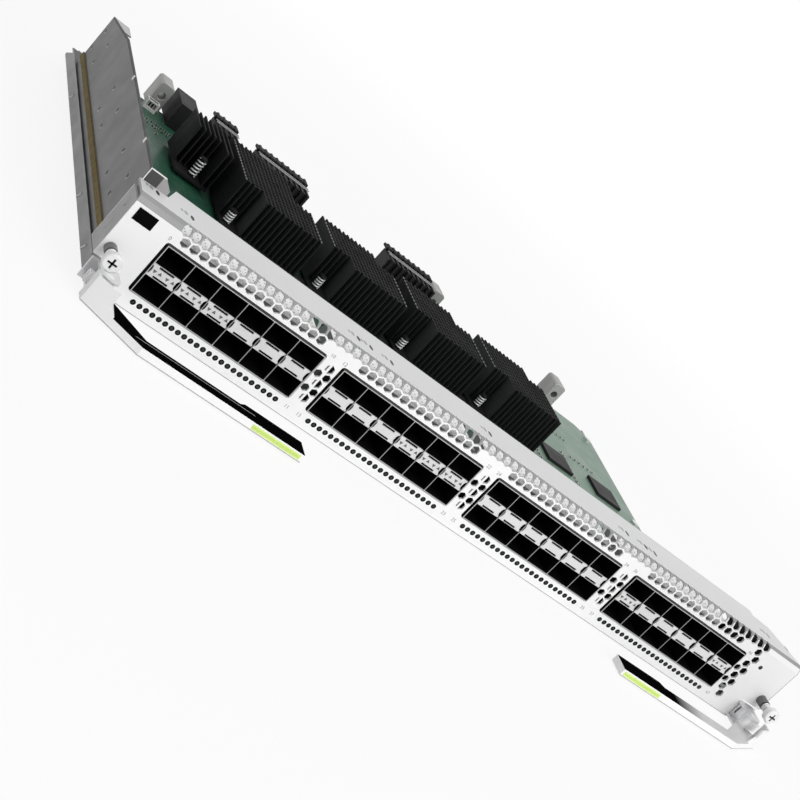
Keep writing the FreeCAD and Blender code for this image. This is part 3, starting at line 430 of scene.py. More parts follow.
chip_body, _, _ = grained("chip_body", (0.09, 0.075, 0.06), 0.5, 0.0, 0.3)
tinned, _, _ = grained("tinned_end", (0.62, 0.62, 0.6), 0.3, 0.6, 0.2)
build = bmesh.new()
ends = bmesh.new()
rows = [(-168, 104, 9, 3.2, 0), (-168, 98, 9, 3.2, 0), (-172, 86, 3, 4.0, 1), (-160, 88, 3, 4.0, 1),
        (-140, 106, 8, 3.0, 0), (-105, 108, 12, 3.0, 0), (-60, 112, 18, 3.2, 0),
        (0, 108, 18, 3.2, 0), (70, 104, 20, 3.4, 0), (120, 84, 14, 3.4, 0),
        (-185, -60, 26, 3.6, 0), (-80, -66, 30, 3.6, 0),
        (40, -62, 36, 3.6, 0), (-186, 20, 10, 4.2, 1), (118, 20, 12, 4.2, 1), (150, 10, 12, 4.2, 1),
        (-176, -20, 9, 3.4, 0), (160, 60, 6, 4.0, 0)]
for x, y, count, pitch, upright in rows:
    for step in range(count):
        px = x + (0 if upright else step * pitch)
        py = y + (step * pitch if upright else 0)
        add_box(build, (px - 0.5, py - 0.5, 8.7), (px + 0.5, py + 0.5, 9.4))
        for side in (-1, 1):
            middle = px + side * 0.7
            add_box(ends, (middle - 0.2, py - 0.52, 8.7), (middle + 0.2, py + 0.52, 9.42))
made("chip_parts", build, [chip_body])
made("chip_part_ends", ends, [tinned])
package, _, _ = grained("package_resin", (0.014, 0.014, 0.015), 0.5, 0.0, 0.2, gloss=0.2)
dress(package, "board_components", "switch_chips")

# Memory chips: flat black packages in two rows in front of the heat sinks' gaps.

build = bmesh.new()
for x in (-79.5, -18.5, 42.5):
    for y in (-11.0, 1.0, 13.0):
        add_box(build, (x, y, 8.75), (x + 13.0, y + 10.5, 9.9), 0.2)
made("memory_chips", build, [package])

# Heat sinks: stacks of black anodised fins, locked into one another by small folded tabs across
# their tops. The inner fins' left sides are painted lighter as painted light and the fin tops
# darker as painted shade. The outer fins carry bent tabs along their top edge, pale as a painted
# glint.

anodised, anodised_tree, anodised_shader = grained("black_anodised", (0.015, 0.015, 0.016), 0.6,
                                                   0.0, 0.2, gloss=0.08)
fin_place = add(anodised_tree, "ShaderNodeTexCoord")
fin_split = add(anodised_tree, "ShaderNodeSeparateXYZ")
anodised_tree.links.new(fin_place.outputs["Object"], fin_split.inputs[0])
from_sink = add(anodised_tree, "ShaderNodeMath", operation="ADD")
from_sink.inputs[1].default_value = 0.1283
anodised_tree.links.new(fin_split.outputs["X"], from_sink.inputs[0])
in_sink = add(anodised_tree, "ShaderNodeMath", operation="MODULO")
in_sink.inputs[1].default_value = 0.0609
anodised_tree.links.new(from_sink.outputs[0], in_sink.inputs[0])
inner_fin = add(anodised_tree, "ShaderNodeMath", operation="GREATER_THAN")
inner_fin.inputs[1].default_value = 0.0006
anodised_tree.links.new(in_sink.outputs[0], inner_fin.inputs[0])
# The inner fins' left-facing sides are painted lighter, as painted light in the gaps.
fin_side_painted_light = joint_mask(anodised_tree, inner_fin.outputs[0],
                      beyond(anodised_tree, "Normal", "X", -0.5, below=True))
recolor(anodised_tree, anodised_shader, fin_side_painted_light, (0.10, 0.104, 0.104))
# The fins' top faces are painted near black, as painted shade.
fin_top_painted_shade = joint_mask(anodised_tree, beyond(anodised_tree, "Normal", "Z", 0.9),
                     beyond(anodised_tree, "Object", "Z", 0.0343))
recolor(anodised_tree, anodised_shader, fin_top_painted_shade, (0.005, 0.005, 0.005))
dress(anodised, "heat_sink_1", "heat_sink_2", "heat_sink_3", "heat_sink_4", "end_heat_sink")
# The tabs' pale tone is a painted glint.
bare_tab_glint, _, _ = grained("bare_tab_glint", (0.17, 0.17, 0.17), 0.4, 0.2, 0.1)
build = bmesh.new()
for x, y0, y1 in ((-127.9, 22.5, 79.0), (-79.0, 10.0, 46.0),
                  (-67.1, 22.5, 60.0), (-18.0, 10.0, 46.0),
                  (-6.2, 22.5, 60.0), (42.9, 10.0, 46.0), (54.7, 22.5, 60.0), (103.8, 10.0, 46.0)):
    y = y0
    while y < y1:
        add_box(build, (x - 0.4, y, 34.5), (x + 0.4, y + 1.9, 34.95))
        y += 4.1
made("fin_tabs", build, [bare_tab_glint])
lock_metal, _, _ = grained("fin_lock", (0.010, 0.010, 0.0105), 0.7, 0.0, 0.3, gloss=0.04)
build = bmesh.new()
sink_lefts = (-128.3, -67.4, -6.5, 54.4)
fin_pitch = 3.06875
fin_gauge = 0.9
tab_pitch = 4.1
for left, rear in zip(sink_lefts, (82.5, 62.0, 62.0, 62.0)):
    for gap in range(16):
        x = left + gap * fin_pitch + fin_gauge
        y = (22.5 if x < left + 12.0 else 10.0) + 2.05 * (gap % 2)
        far = 48.5 if x > left + 37.0 else rear - 1.0
        while y + 2.2 < far:
            add_box(build, (x - 0.05, y, 34.1), (x + fin_pitch - 0.85, y + 2.2, 34.66))
            y += tab_pitch
made("fin_locks", build, [lock_metal])

# Sink springs: bright wire coils round the screws that press each heat sink on its chip. The
# wire is wound as a helix with its ends cut.


def add_coil(build, start, axis, radius, wire, length, turns):
    """A coil in millimetres: a wire's section swept round the axis while it climbs."""
    before = set(build.verts)
    ring = bmesh.ops.create_circle(
        build, cap_ends=False, segments=8, radius=wire / 1000,
        matrix=(Matrix.Translation((radius / 1000, 0, wire / 1000))
                @ Matrix.Rotation(math.pi / 2, 4, "X")),
    )
    section = list({edge for vert in ring["verts"] for edge in vert.link_edges})
    steps = int(turns * 18)
    bmesh.ops.spin(build, geom=ring["verts"] + section, cent=(0, 0, 0), axis=(0, 0, 1),
                   dvec=(0, 0, (length - 2 * wire) / 1000 / steps), angle=2 * math.pi * turns,
                   steps=steps, use_merge=False, use_duplicate=False)
    wound = [vert for vert in build.verts if vert not in before]
    open_ends = [edge for vert in wound for edge in vert.link_edges if len(edge.link_faces) == 1]
    bmesh.ops.holes_fill(build, edges=list(set(open_ends)), sides=8)
    turn = Vector((0, 0, 1)).rotation_difference(Vector(axis)).to_matrix().to_4x4()
    bmesh.ops.transform(build, matrix=Matrix.Translation(Vector(start) / 1000) @ turn, verts=wound)


build = bmesh.new()
screws = bmesh.new()
for left in sink_lefts:
    for x, y in ((left + 4.0, 15.0), (left + 46.0, 56.0)):
        add_coil(build, (x, y, 12.0), (0, 0, 1), 1.9, 0.42, 7.2, 4.2)
        add_rod(screws, (x, y, 14.1), (0, 0, 1), 1.1, 10.8, 12)
        add_rod(screws, (x, y, 19.7), (0, 0, 1), 2.3, 0.9, 16, 2.0)
add_coil(build, (-143.0, 49.0, 12.0), (0, 0, 1), 2.0, 0.45, 11.2, 5.5)
add_rod(screws, (-143.0, 49.0, 16.0), (0, 0, 1), 1.1, 14.6, 12)
add_rod(screws, (-143.0, 49.0, 23.6), (0, 0, 1), 2.4, 0.8, 16, 2.1)
coil_wire, _, _ = grained("coil_wire", (0.95, 0.95, 0.95), 0.3, 0.2, 0.05, bump=0.0)
sink_coils = made("sink_coils", build, [coil_wire], smooth=True)
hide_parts("sink_springs")
black_steel, _, _ = grained("black_steel", (0.012, 0.012, 0.012), 0.5, 0.0, 0.1, gloss=0.15)
spring_screws = made("spring_screws", screws, [black_steel])
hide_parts("sink_screws")

# Rear pieces: cast guide blocks, the power block, the signal connectors with their metal
# stiffeners and rounded rear ribs, and a small open pin header with square pins.


def softened(name, width, material, body="card"):
    """A copy of a CAD piece with its sharp edges rounded, which stands for it."""
    build = bmesh.new()
    build.from_mesh(nodes[name].data)
    bmesh.ops.remove_doubles(build, verts=build.verts, dist=1e-6)
    bmesh.ops.dissolve_limit(build, angle_limit=0.02, verts=build.verts, edges=build.edges)
    sharp = [edge for edge in build.edges
             if len(edge.link_faces) == 2 and edge.calc_face_angle() > 0.6]
    bmesh.ops.bevel(build, geom=sharp, offset=width / 1000, segments=2, profile=0.5,
                    affect="EDGES", material=-1, clamp_overlap=True)
    piece = made(name + "_soft", build, [material], body)
    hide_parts(name)
    return piece


cast, _, _ = grained("cast_block", (0.40, 0.40, 0.385), 0.4, 0.4, 0.2)
for name in ("left_guide", "middle_guide", "right_guide"):
    softened(name, 0.35, cast)
moulded, _, _ = grained("black_moulded", (0.018, 0.018, 0.018), 0.55, 0.0, 0.2, gloss=0.2)
dress(moulded, "signal_connector_1", "signal_connector_2", "signal_connector_3",
      "power_connector", "host_connectors")
build = bmesh.new()
ribs = bmesh.new()
for x0, x1 in ((-125.8, -108.6), (-94.0, -55.3), (9.3, 48.0)):
    for y in (129.5, 133.0):
        add_box(build, (x0 + 0.3, y, 25.15), (x1 - 0.3, y + 0.8, 25.75), 0.1)
    count = round((x1 - x0) / 4.3)
    for step in range(count):
        x = x0 + (step + 0.5) * (x1 - x0) / count
        add_rod(ribs, (x, 139.5, 26.0), (0, 1, 0), 1.2, 8.0, 12)
stiffener, _, _ = grained("stiffener_strip", (0.36, 0.36, 0.36), 0.35, 0.6, 0.1)
made("connector_stiffeners", build, [stiffener])
made("connector_ribs", ribs, [moulded], smooth=False)
cream, _, _ = grained("cream_moulded", (0.84, 0.84, 0.80), 0.5, 0.0, 0.1)
build = bmesh.new()
add_box(build, (-166.6, 120.0, 8.7), (-158.6, 125.0, 9.7), 0.1)
add_box(build, (-166.6, 124.1, 9.7), (-158.6, 125.0, 14.7), 0.1)
add_box(build, (-166.6, 120.0, 9.7), (-165.6, 124.1, 14.7), 0.1)
add_box(build, (-159.6, 120.0, 9.7), (-158.6, 124.1, 14.7), 0.1)
add_box(build, (-165.6, 120.0, 9.7), (-159.6, 120.9, 10.7), 0.1)
add_box(build, (-165.6, 120.0, 13.7), (-159.6, 120.9, 14.7), 0.1)
shroud = made("header_shroud", build, [cream])
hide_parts("pin_header")
build = bmesh.new()
for x in (-164.4, -162.6, -160.8):
    add_box(build, (x - 0.3, 122.2, 9.2), (x + 0.3, 122.8, 14.0), 0.1)
made("header_pins", build, [steel])
# A near-black sheet on the shroud's inner back wall is painted shade in its well.
build = bmesh.new()
add_box(build, (-165.55, 123.4, 9.75), (-159.65, 124.05, 14.5), 0.05)
made("header_well_shade", build, [dark_hole_and_shade])

# Port cages: thin plated sheet, bright along the cut front edge, with painted shade inside and on
# the sheets between the columns near the front, where the shine is lowered too. The inner
# dividers' front edges are painted darker, and the roofs are painted dim under the flange and
# bright behind it as painted shade and light, with small dark dots. Each pair of ports is parted
# by a light bar.

cage, cage_tree, cage_shader = grained("cage_sheet", (0.40, 0.40, 0.40), 0.4, 0.5, 0.2)
cage_place = add(cage_tree, "ShaderNodeTexCoord")
cage_split = add(cage_tree, "ShaderNodeSeparateXYZ")
cage_tree.links.new(cage_place.outputs["Object"], cage_split.inputs[0])
from_left = add(cage_tree, "ShaderNodeMath", operation="ADD")
from_left.inputs[1].default_value = 0.1942
cage_tree.links.new(cage_split.outputs["X"], from_left.inputs[0])
in_block = add(cage_tree, "ShaderNodeMath", operation="MODULO")
in_block.inputs[1].default_value = 0.0966
cage_tree.links.new(from_left.outputs[0], in_block.inputs[0])


def inside_band(value_socket, low, high):
    """A mask that is 1 between two values."""
    band = add(cage_tree, "ShaderNodeMath", operation="COMPARE")
    band.inputs[1].default_value = (low + high) / 2
    band.inputs[2].default_value = (high - low) / 2
    cage_tree.links.new(value_socket, band.inputs[0])
    return band.outputs[0]


def both(first, second, operation="MULTIPLY"):
    """Two masks joined."""
    join = add(cage_tree, "ShaderNodeMath", operation=operation)
    cage_tree.links.new(first, join.inputs[0])
    cage_tree.links.new(second, join.inputs[1])
    return join.outputs[0]


# Inside the cages and on the sheets near the front the colour is painted near black as shade.
within = both(inside_band(in_block.outputs[0], 0.0003, 0.0856),
              inside_band(cage_split.outputs["Z"], 0.0090, 0.0334))
hollow = both(within, inside_band(cage_split.outputs["Y"], -0.14533, -0.0986))
throat = inside_band(cage_split.outputs["Y"], -0.14533, -0.1300)
shade = both(hollow, throat, "MAXIMUM")
cage_color = add(cage_tree, "ShaderNodeMix", data_type="RGBA")
cage_color.inputs["B"].default_value = (0.004, 0.004, 0.004, 1)
divider_edge = both(inside_band(in_block.outputs[0], 0.0020, 0.0839),
                    inside_band(cage_split.outputs["Z"], 0.0096, 0.0328))
edge_color = add(cage_tree, "ShaderNodeMix", data_type="RGBA")
edge_color.inputs["A"].default_value = (0.48, 0.48, 0.48, 1)
edge_color.inputs["B"].default_value = (0.30, 0.30, 0.30, 1)
cage_tree.links.new(divider_edge, edge_color.inputs["Factor"])
# The roof is painted dim under the flange and bright behind it, as painted shade and light.
cage_roof = both(beyond(cage_tree, "Normal", "Z", 0.9), beyond(cage_tree, "Object", "Z", 0.0334))
roof_depth = add(cage_tree, "ShaderNodeMapRange")
roof_depth.inputs["From Min"].default_value = -0.1260
roof_depth.inputs["From Max"].default_value = -0.1190
cage_tree.links.new(cage_split.outputs["Y"], roof_depth.inputs["Value"])
roof_light_and_shade = add(cage_tree, "ShaderNodeMix", data_type="RGBA")
roof_light_and_shade.inputs["A"].default_value = (0.62, 0.62, 0.62, 1)
roof_light_and_shade.inputs["B"].default_value = (0.95, 0.95, 0.95, 1)
cage_tree.links.new(roof_depth.outputs[0], roof_light_and_shade.inputs["Factor"])
roof_waves = []
for axis, period in (("X", 0.0019), ("Y", 0.0016)):
    wave = add(cage_tree, "ShaderNodeMath", operation="PINGPONG")
    wave.inputs[1].default_value = period
    cage_tree.links.new(cage_split.outputs[axis], wave.inputs[0])
    near = add(cage_tree, "ShaderNodeMath", operation="LESS_THAN")
    near.inputs[1].default_value = 0.00045
    cage_tree.links.new(wave.outputs[0], near.inputs[0])
    roof_waves.append(near.outputs[0])
roof_hole = both(*roof_waves)
roof_color = add(cage_tree, "ShaderNodeMix", data_type="RGBA")
cage_tree.links.new(cage_roof, roof_color.inputs["Factor"])
cage_tree.links.new(edge_color.outputs["Result"], roof_color.inputs["A"])
cage_tree.links.new(roof_light_and_shade.outputs["Result"], roof_color.inputs["B"])
pierced = add(cage_tree, "ShaderNodeMix", data_type="RGBA")
pierced.inputs["B"].default_value = (0.22, 0.22, 0.22, 1)
cage_tree.links.new(both(roof_hole, cage_roof), pierced.inputs["Factor"])
cage_tree.links.new(roof_color.outputs["Result"], pierced.inputs["A"])
cage_tree.links.new(pierced.outputs["Result"], cage_color.inputs["A"])
cage_tree.links.new(shade, cage_color.inputs["Factor"])
cage_tree.links.new(cage_color.outputs["Result"], cage_shader.inputs["Base Color"])
cage_metal = add(cage_tree, "ShaderNodeMath", operation="MULTIPLY_ADD")
cage_metal.inputs[1].default_value = -0.5
cage_metal.inputs[2].default_value = 0.5
cage_tree.links.new(shade, cage_metal.inputs[0])
cage_tree.links.new(cage_metal.outputs[0], cage_shader.inputs["Metallic"])
cage_shader.inputs["Specular IOR Level"].default_value = 0.25
for number in range(1, 5):
    dress(cage, "port_cage_%d" % number, "cage_floor_%d" % number, "cage_dividers_%d" % number)

# Port bars: between the two ports of each column sits a light moulded bar with two long slots,
# a notch at either side and, on some columns, small raised arrow lenses.

bar, _, _ = grained("light_bar", (0.76, 0.76, 0.76), 0.4, 0.1, 0.15)
# slot_shadow is near black: painted shade in the bars' slots, the indicators' holes and the screws'
# cross recesses.
pit, _, _ = grained("slot_shadow", (0.004, 0.004, 0.004), 0.7, 0.0, 0.1, gloss=0.05)
lens, _, _ = grained("arrow_lens", (0.13, 0.13, 0.13), 0.3, 0.0, 0.1)
BAR_LOW = 18.15
BAR_HIGH = 24.25
ARROW_COLUMNS = [(0, 0), (0, 1), (0, 2), (1, 3), (1, 4), (1, 5), (3, 0), (3, 5)]


def add_loop(build, points, y):
    """A closed loop of edges on the plane y, from points in millimetres."""
    ring = [build.verts.new((x / 1000, y / 1000, z / 1000)) for x, z in points]
    return [build.edges.new((ring[k], ring[(k + 1) % len(ring)])) for k in range(len(ring))]


def add_pierced_plate(build, outline, holes, y, depth):
    """A plate of a given outline with shaped holes through it."""
    edges = add_loop(build, outline, y)
    for hole in holes:
        edges += add_loop(build, hole, y)
    before = set(build.faces)
    bmesh.ops.triangle_fill(build, use_beauty=True, use_dissolve=False, edges=edges)
    sheet = [face for face in build.faces if face not in before]
    pushed = bmesh.ops.extrude_face_region(build, geom=sheet, use_keep_orig=True)
    moved = [part for part in pushed["geom"] if isinstance(part, bmesh.types.BMVert)]
    bmesh.ops.translate(build, vec=(0, depth / 1000, 0), verts=moved)


for block in range(4):
    plates = bmesh.new()
    cores = bmesh.new()
    arrows = bmesh.new()
    for column in range(6):
        x0 = -194.2 + 96.6 * block + 14.25 * column + 0.4
        x1 = x0 + 13.85
        left, right = x0 + 0.02, x1 - 0.02
        outline = [(left, BAR_LOW), (right, BAR_LOW), (right, 19.0), (right - 0.6, 19.3),
                   (right - 0.95, 20.2), (right - 0.95, 22.2), (right - 0.6, 23.1), (right, 23.4),
                   (right, BAR_HIGH), (left, BAR_HIGH), (left, 23.4), (left + 0.6, 23.1),
                   (left + 0.95, 22.2), (left + 0.95, 20.2), (left + 0.6, 19.3), (left, 19.0)]
        holes = [[(x0 + 3.2, z), (x1 - 3.2, z), (x1 - 3.2, z + 1.05), (x0 + 3.2, z + 1.05)]
                 for z in (18.3, 23.05)]
        add_pierced_plate(plates, outline, holes, -144.8, 0.8)
        # Behind each plate a near-black core fills the bar, so its slots show painted shade.
        add_box(cores, (x0, -144.0, BAR_LOW), (x1, -107.8, BAR_HIGH), 0.2)
        if (block, column) in ARROW_COLUMNS:
            for place_x, turn in ((2.5, 1), (5.2, -1), (8.8, 1), (11.7, -1)):
                bmesh.ops.create_cone(
                    arrows, cap_ends=True, cap_tris=False, segments=3, radius1=0.00115,
                    radius2=0.0009, depth=0.0003,
                    matrix=Matrix.Translation(((x0 + place_x) / 1000, -0.14485, 0.0212))
                    @ Matrix.Rotation(turn * math.pi / 2, 4, "Y")
                    @ Matrix.Rotation(math.pi / 2, 4, "Y")
                    @ Matrix.Rotation(math.pi / 2, 4, "X"),
                )
    plate = made("port_bar_%d" % (block + 1), plates, [bar])
    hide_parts("port_spacers_%d" % (block + 1))
    made("port_bar_core_%d" % (block + 1), cores, [pit])
    if len(arrows.faces):
        made("arrow_lenses_%d" % (block + 1), arrows, [lens])
    else:
        arrows.free()

# Front panel: one bright plated sheet, folded along its top, with hexagonal vents. The fold, the
# top flange, the left face and the front toward the right end are painted darker as painted
# shade, the left face's front and rear ends carry painted highlights, and thin lines of painted
# shade run along the front's foot and right end and the flange's rear edge. Stamped locating
# marks run along the top flange.

plated, plated_tree, plated_shader = grained("plated_sheet", (0.97, 0.97, 0.97), 0.4, 0.05, 0.03)
panel_normal = add(plated_tree, "ShaderNodeNewGeometry")
panel_split = add(plated_tree, "ShaderNodeSeparateXYZ")
plated_tree.links.new(panel_normal.outputs["Normal"], panel_split.inputs[0])
# The fold, facing between the front and the top, is painted darker as painted shade.
fold = add(plated_tree, "ShaderNodeMath", operation="MULTIPLY")
plated_tree.links.new(panel_split.outputs["Y"], fold.inputs[0])
plated_tree.links.new(panel_split.outputs["Z"], fold.inputs[1])
fold_painted_shade = add(plated_tree, "ShaderNodeMapRange")
fold_painted_shade.inputs["From Min"].default_value = -0.12
fold_painted_shade.inputs["From Max"].default_value = -0.35
plated_tree.links.new(fold.outputs[0], fold_painted_shade.inputs["Value"])
panel_color = add(plated_tree, "ShaderNodeMix", data_type="RGBA")
panel_color.inputs["B"].default_value = (0.31, 0.31, 0.315, 1)
plated_tree.links.new(fold_painted_shade.outputs[0], panel_color.inputs["Factor"])
plated_tree.links.new(plated_shader.inputs["Base Color"].links[0].from_socket,
                      panel_color.inputs["A"])
plated_tree.links.new(panel_color.outputs["Result"], plated_shader.inputs["Base Color"])
# The flange's top face is painted darker than the front, as painted shade.
flange_top = beyond(plated_tree, "Normal", "Z", 0.97)
recolor(plated_tree, plated_shader, flange_top, (0.82, 0.82, 0.825))
# The left face is painted grey as painted shade, and its front and rear ends pale as painted
# highlights.
left_face = joint_mask(plated_tree, beyond(plated_tree, "Object", "X", -0.2161, below=True),
                       beyond(plated_tree, "Normal", "X", -0.5, below=True))
recolor(plated_tree, plated_shader, left_face, (0.40, 0.40, 0.40))
side_ends = joint_mask(plated_tree, beyond(plated_tree, "Object", "Y", -0.1444, below=True),
                       beyond(plated_tree, "Object", "Y", -0.1281), "MAXIMUM")
left_end_highlights = joint_mask(plated_tree, left_face, side_ends)
recolor(plated_tree, plated_shader, left_end_highlights, (0.95, 0.95, 0.95))
front_face = beyond(plated_tree, "Normal", "Y", -0.9, below=True)
panel_place = add(plated_tree, "ShaderNodeTexCoord")
panel_parts = add(plated_tree, "ShaderNodeSeparateXYZ")
plated_tree.links.new(panel_place.outputs["Object"], panel_parts.inputs[0])
right_shade = add(plated_tree, "ShaderNodeMapRange", interpolation_type="SMOOTHSTEP")
right_shade.inputs["From Min"].default_value = 0.03
right_shade.inputs["From Max"].default_value = 0.21
plated_tree.links.new(panel_parts.outputs["X"], right_shade.inputs["Value"])
shaded_face = joint_mask(plated_tree, front_face, right_shade.outputs[0])
recolor(plated_tree, plated_shader, shaded_face, (0.83, 0.83, 0.83))
# Thin grey lines of painted shade run along the front's foot and right end and the flange's rear
# edge.
foot_shade_line = joint_mask(plated_tree, front_face,
                       beyond(plated_tree, "Object", "Z", 0.0004, below=True))
recolor(plated_tree, plated_shader, foot_shade_line, (0.48, 0.48, 0.48))
end_shade_line = joint_mask(plated_tree, front_face, beyond(plated_tree, "Object", "X", 0.2158))
recolor(plated_tree, plated_shader, end_shade_line, (0.40, 0.40, 0.40))
rear_shade_line = joint_mask(plated_tree, flange_top, beyond(plated_tree, "Object", "Y", -0.1135))
recolor(plated_tree, plated_shader, rear_shade_line, (0.50, 0.50, 0.50))
dress(plated, "faceplate")
bracket_sheet, _, _ = grained("bracket_sheet", (0.74, 0.74, 0.75), 0.3, 0.6, 0.1)
dress(bracket_sheet, "left_lever_bracket", "right_lever_bracket")
faint_mark, _, _ = grained("faint_mark", (0.42, 0.42, 0.42), 0.5, 0.1, 0.1)
build = bmesh.new()
for x in (-207.5, -189.4, -96.2, -88.6, -76.0, -13.2, 83.2, 97.1, 104.3, 195.1, 210.9):
    slot_verts = add_rod(build, (x, -131.5, 44.99), (0, 0, 1), 1.0, 0.06, 12)
    bmesh.ops.scale(build, vec=(1.0, 2.4, 1.0), verts=slot_verts,
                    space=Matrix.Translation((-x / 1000, 0.1315, 0)))
dark_marks = len(build.faces)
for x in (-207.5, -189.4, -96.2, -88.6, -76.0, -13.2, 83.2, 97.1, 104.3, 195.1):
    for shift, size in ((-3.2, 1.05), (-5.4, 0.75)):
        dot = add_rod(build, (x + shift, -130.5, 44.985), (0, 0, 1), size, 0.05, 12)
        bmesh.ops.scale(build, vec=(1.0, 1.8, 1.0), verts=dot,
                        space=Matrix.Translation((-(x + shift) / 1000, 0.1305, 0)))
build.faces.ensure_lookup_table()
for face in build.faces[dark_marks:]:
    face.material_index = 1
made("flange_marks", build, [dark_hole_and_shade, faint_mark])

# End baffle: a dark foam pad behind the vents at the panel's right end, stuck between the last
# port cage and the fold.

foam, _, _ = grained("dark_foam", (0.012, 0.012, 0.012), 0.85, 0.0, 0.5, 0.4, 400.0, gloss=0.1)
build = bmesh.new()
add_box(build, (182.3, -142.6, 12.9), (205.5, -139.5, 43.6), 0.3)
add_box(build, (160.0, -142.4, 35.2), (205.0, -139.0, 43.7), 0.3)
made("end_baffle", build, [foam])

# Indicators: a row of round light pipes under each port block, dark in their holes, with a
# small domed face. One more stands for the card's state at the right end.

pipe_face, _, _ = grained("light_pipe", (0.02, 0.02, 0.02), 0.35, 0.0, 0.1, gloss=0.3)
build = bmesh.new()
# The near-black discs round the pipes are painted shade in their holes.
for first in (-189.8, -93.6, 2.7, 98.8):
    for step in range(24):
        add_rod(build, (first + 3.36 * step, -145.0, 5.0), (0, -1, 0), 1.3, 0.08, 14)
add_rod(build, (195.0, -145.0, 32.55), (0, -1, 0), 1.25, 0.08, 16)
hole_faces = len(build.faces)
for first in (-189.8, -93.6, 2.7, 98.8):
    for step in range(24):
        add_rod(build, (first + 3.36 * step, -145.1, 5.0), (0, -1, 0), 0.75, 0.2, 10, 0.4)
add_rod(build, (195.0, -145.1, 32.55), (0, -1, 0), 0.8, 0.2, 12, 0.45)
build.faces.ensure_lookup_table()
for face in build.faces[hole_faces:]:
    face.material_index = 1
made("indicators", build, [pit, pipe_face])

# Port numbers: small grey printed figures beside the blocks, a flat layer of ink.

ink, _, _ = grained("grey_ink", (0.30, 0.30, 0.30), 0.6, 0.0, 0.1)
build = bmesh.new()
for text, x, z in (("0", -195.6, 36.4), ("10", -106.1, 35.9),
                   ("12", -99.2, 35.9), ("22", -9.9, 35.9),
                   ("24", -3.3, 35.9), ("34", 86.1, 35.9), ("36", 92.8, 35.9), ("46", 182.7, 35.9),
                   ("11", -106.1, 5.0), ("13", -99.2, 5.0), ("23", -9.9, 5.0), ("25", -3.3, 5.0),
                   ("35", 86.1, 5.0), ("37", 92.8, 5.0), ("47", 182.7, 5.0)):
    letters = bpy.data.curves.new("figure", "FONT")
    letters.body = text
    letters.size = 0.0026
    letters.align_x = "CENTER"
    letters.align_y = "CENTER"
    letters.resolution_u = 3
    letters.extrude = 0.00001
    carrier = bpy.data.objects.new("figure", letters)
    flat = bpy.data.meshes.new_from_object(carrier)
    flat.transform(Matrix.Translation((x / 1000, -0.14502, z / 1000))
                   @ Matrix.Rotation(math.pi / 2, 4, "X"))
    build.from_mesh(flat)
    bpy.data.objects.remove(carrier)
    bpy.data.meshes.remove(flat)
made("port_numbers", build, [ink])
plate_film, _, _ = grained("plate_film", (0.003, 0.003, 0.003), 0.6, 0.0, 0.1, gloss=0.02)
softened("label_plate", 0.05, plate_film)

# Ejector levers: folded spring steel with a bright nickel finish, hinged in a bracket at each
# end of the panel. Their flat top is painted near black as a painted reflection, fading along the
# right lever, with its shine lowered there; a painted highlight runs along the left lever's top,
# a line of painted shade along the arms' foot, and a lime tape marks the place to pull.

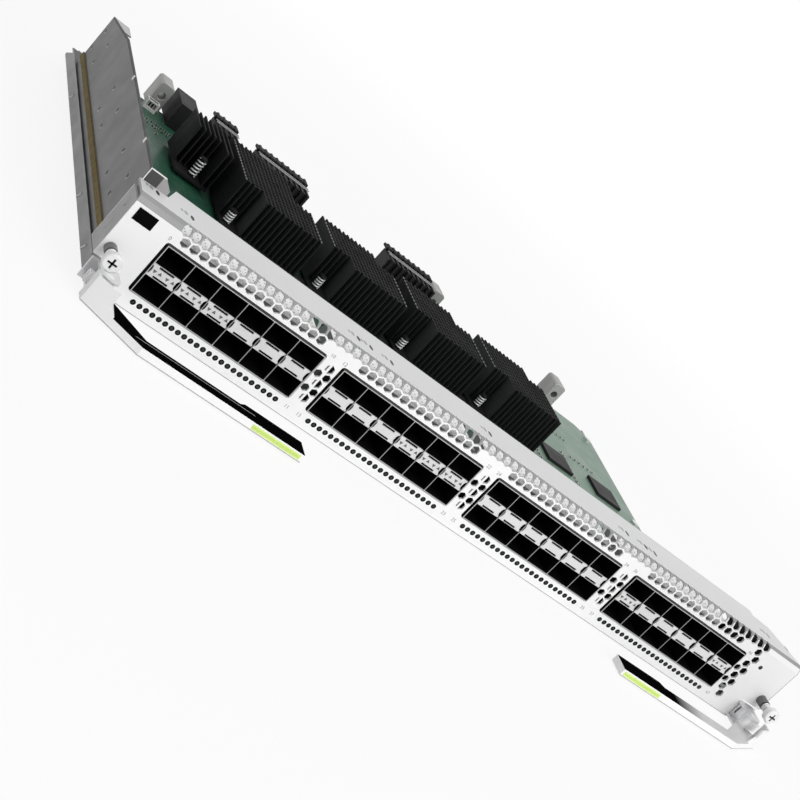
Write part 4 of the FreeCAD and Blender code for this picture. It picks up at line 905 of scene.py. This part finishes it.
for side, start, end, far in (("left", -0.196, -0.100, 0.0), ("right", 0.142, 0.162, 0.72)):
    nickel, nickel_tree, nickel_shader = grained("bright_nickel_" + side, (0.95, 0.95, 0.95), 0.35,
                                                 0.2, 0.03, bump=0.0)
    flat_top = joint_mask(nickel_tree, beyond(nickel_tree, "Normal", "Z", 0.7),
                          beyond(nickel_tree, "Object", "Z", 0.0046, below=True))
    lever_place = add(nickel_tree, "ShaderNodeTexCoord")
    lever_split = add(nickel_tree, "ShaderNodeSeparateXYZ")
    fade = add(nickel_tree, "ShaderNodeMapRange")
    fade.inputs["From Min"].default_value = start
    fade.inputs["From Max"].default_value = end
    fade.inputs["To Min"].default_value = 1.0
    fade.inputs["To Max"].default_value = 1.0 - far
    nickel_tree.links.new(lever_place.outputs["Object"], lever_split.inputs[0])
    nickel_tree.links.new(lever_split.outputs["X"], fade.inputs["Value"])
    # The flat top is painted near black as a painted reflection, and its shine is lowered with it.
    top_painted_reflection = joint_mask(nickel_tree, flat_top, fade.outputs[0])
    recolor(nickel_tree, nickel_shader, top_painted_reflection, (0.003, 0.003, 0.003))
    for socket, low in (("Specular IOR Level", 0.0), ("Metallic", 0.0)):
        top_share = add(nickel_tree, "ShaderNodeMapRange")
        top_share.inputs["To Min"].default_value = nickel_shader.inputs[socket].default_value
        top_share.inputs["To Max"].default_value = low
        nickel_tree.links.new(top_painted_reflection, top_share.inputs["Value"])
        nickel_tree.links.new(top_share.outputs[0], nickel_shader.inputs[socket])
    # A pale line on the left lever's top, near its inner edge, is a painted highlight.
    fold_near = beyond(nickel_tree, "Object", "Y", -0.1746)
    fold_far = beyond(nickel_tree, "Object", "Y", -0.1742, below=True)
    fold_span = joint_mask(nickel_tree, beyond(nickel_tree, "Object", "X", -0.190),
                           beyond(nickel_tree, "Object", "X", -0.128, below=True))
    left_top_highlight = joint_mask(nickel_tree, joint_mask(nickel_tree, fold_near, fold_far),
                           joint_mask(nickel_tree, fold_span, flat_top))
    recolor(nickel_tree, nickel_shader, left_top_highlight, (0.55, 0.55, 0.55))
    # A grey line along the arms' lower edge is painted shade.
    arm_foot_shade_line = joint_mask(nickel_tree, beyond(nickel_tree, "Object", "Z", 0.0008, below=True),
                          beyond(nickel_tree, "Normal", "Y", -0.3, below=True))
    recolor(nickel_tree, nickel_shader, arm_foot_shade_line, (0.45, 0.45, 0.45))
    softened(side + "_lever", 0.18, nickel, side + "_lever")
    dress(nickel, side + "_lever_pin")
lime, _, _ = grained("lime_tape", (0.72, 0.90, 0.27), 0.5, 0.0, 0.1)
lime_pad, _, _ = grained("lime_pad", (0.62, 0.80, 0.20), 0.5, 0.0, 0.1)
for side, low, high in (("left", -129.1, -103.1), ("right", 103.1, 129.1)):
    build = bmesh.new()
    add_box(build, (low, -181.2, 1.1), (high, -181.0, 3.5), 0.05)
    border = len(build.faces)
    add_box(build, (low + 0.7, -181.29, 1.75), (high - 0.7, -181.15, 2.85), 0.05)
    build.faces.ensure_lookup_table()
    for face in build.faces[border:]:
        face.material_index = 1
    tape = made(side + "_lever_tape", build, [lime, lime_pad], side + "_lever")
    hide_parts(side + "_lever_grip")

# Captive screws: a cross-head screw with a bright head, its washer, a return coil built at one
# length with a mesh of its own (the real coil shortens as the screw goes in), and a dark ferrule
# pressed into the panel.

head_metal, _, _ = grained("screw_head", (0.86, 0.86, 0.86), 0.35, 0.25, 0.05, bump=0.0)
for side, sign in (("left", -1), ("right", 1)):
    dress(head_metal, side + "_screw", side + "_screw_washer")
    build = bmesh.new()
    add_coil(build, (sign * 211.8, -155.5, 18.6), (0, 1, 0), 2.1, 0.38, 5.3, 4.0)
    # A near-black cross sunk in each head's recess is painted shade.
    cross = bmesh.new()
    add_box(cross, (sign * 211.8 - 2.25, -159.2, 18.1), (sign * 211.8 + 2.25, -158.7, 19.1))
    add_box(cross, (sign * 211.8 - 0.5, -159.2, 16.35), (sign * 211.8 + 0.5, -158.7, 20.85))
    made(side + "_screw_cross", cross, [pit], side + "_screw")
    return_coil = made(side + "_return_coil", build, [steel], smooth=True)
    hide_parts(side + "_screw_spring")
    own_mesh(return_coil)
ferrule_metal, _, _ = grained("ferrule_metal", (0.16, 0.16, 0.16), 0.35, 0.7, 0.1)
dress(ferrule_metal, "left_screw_ferrule", "right_screw_ferrule")
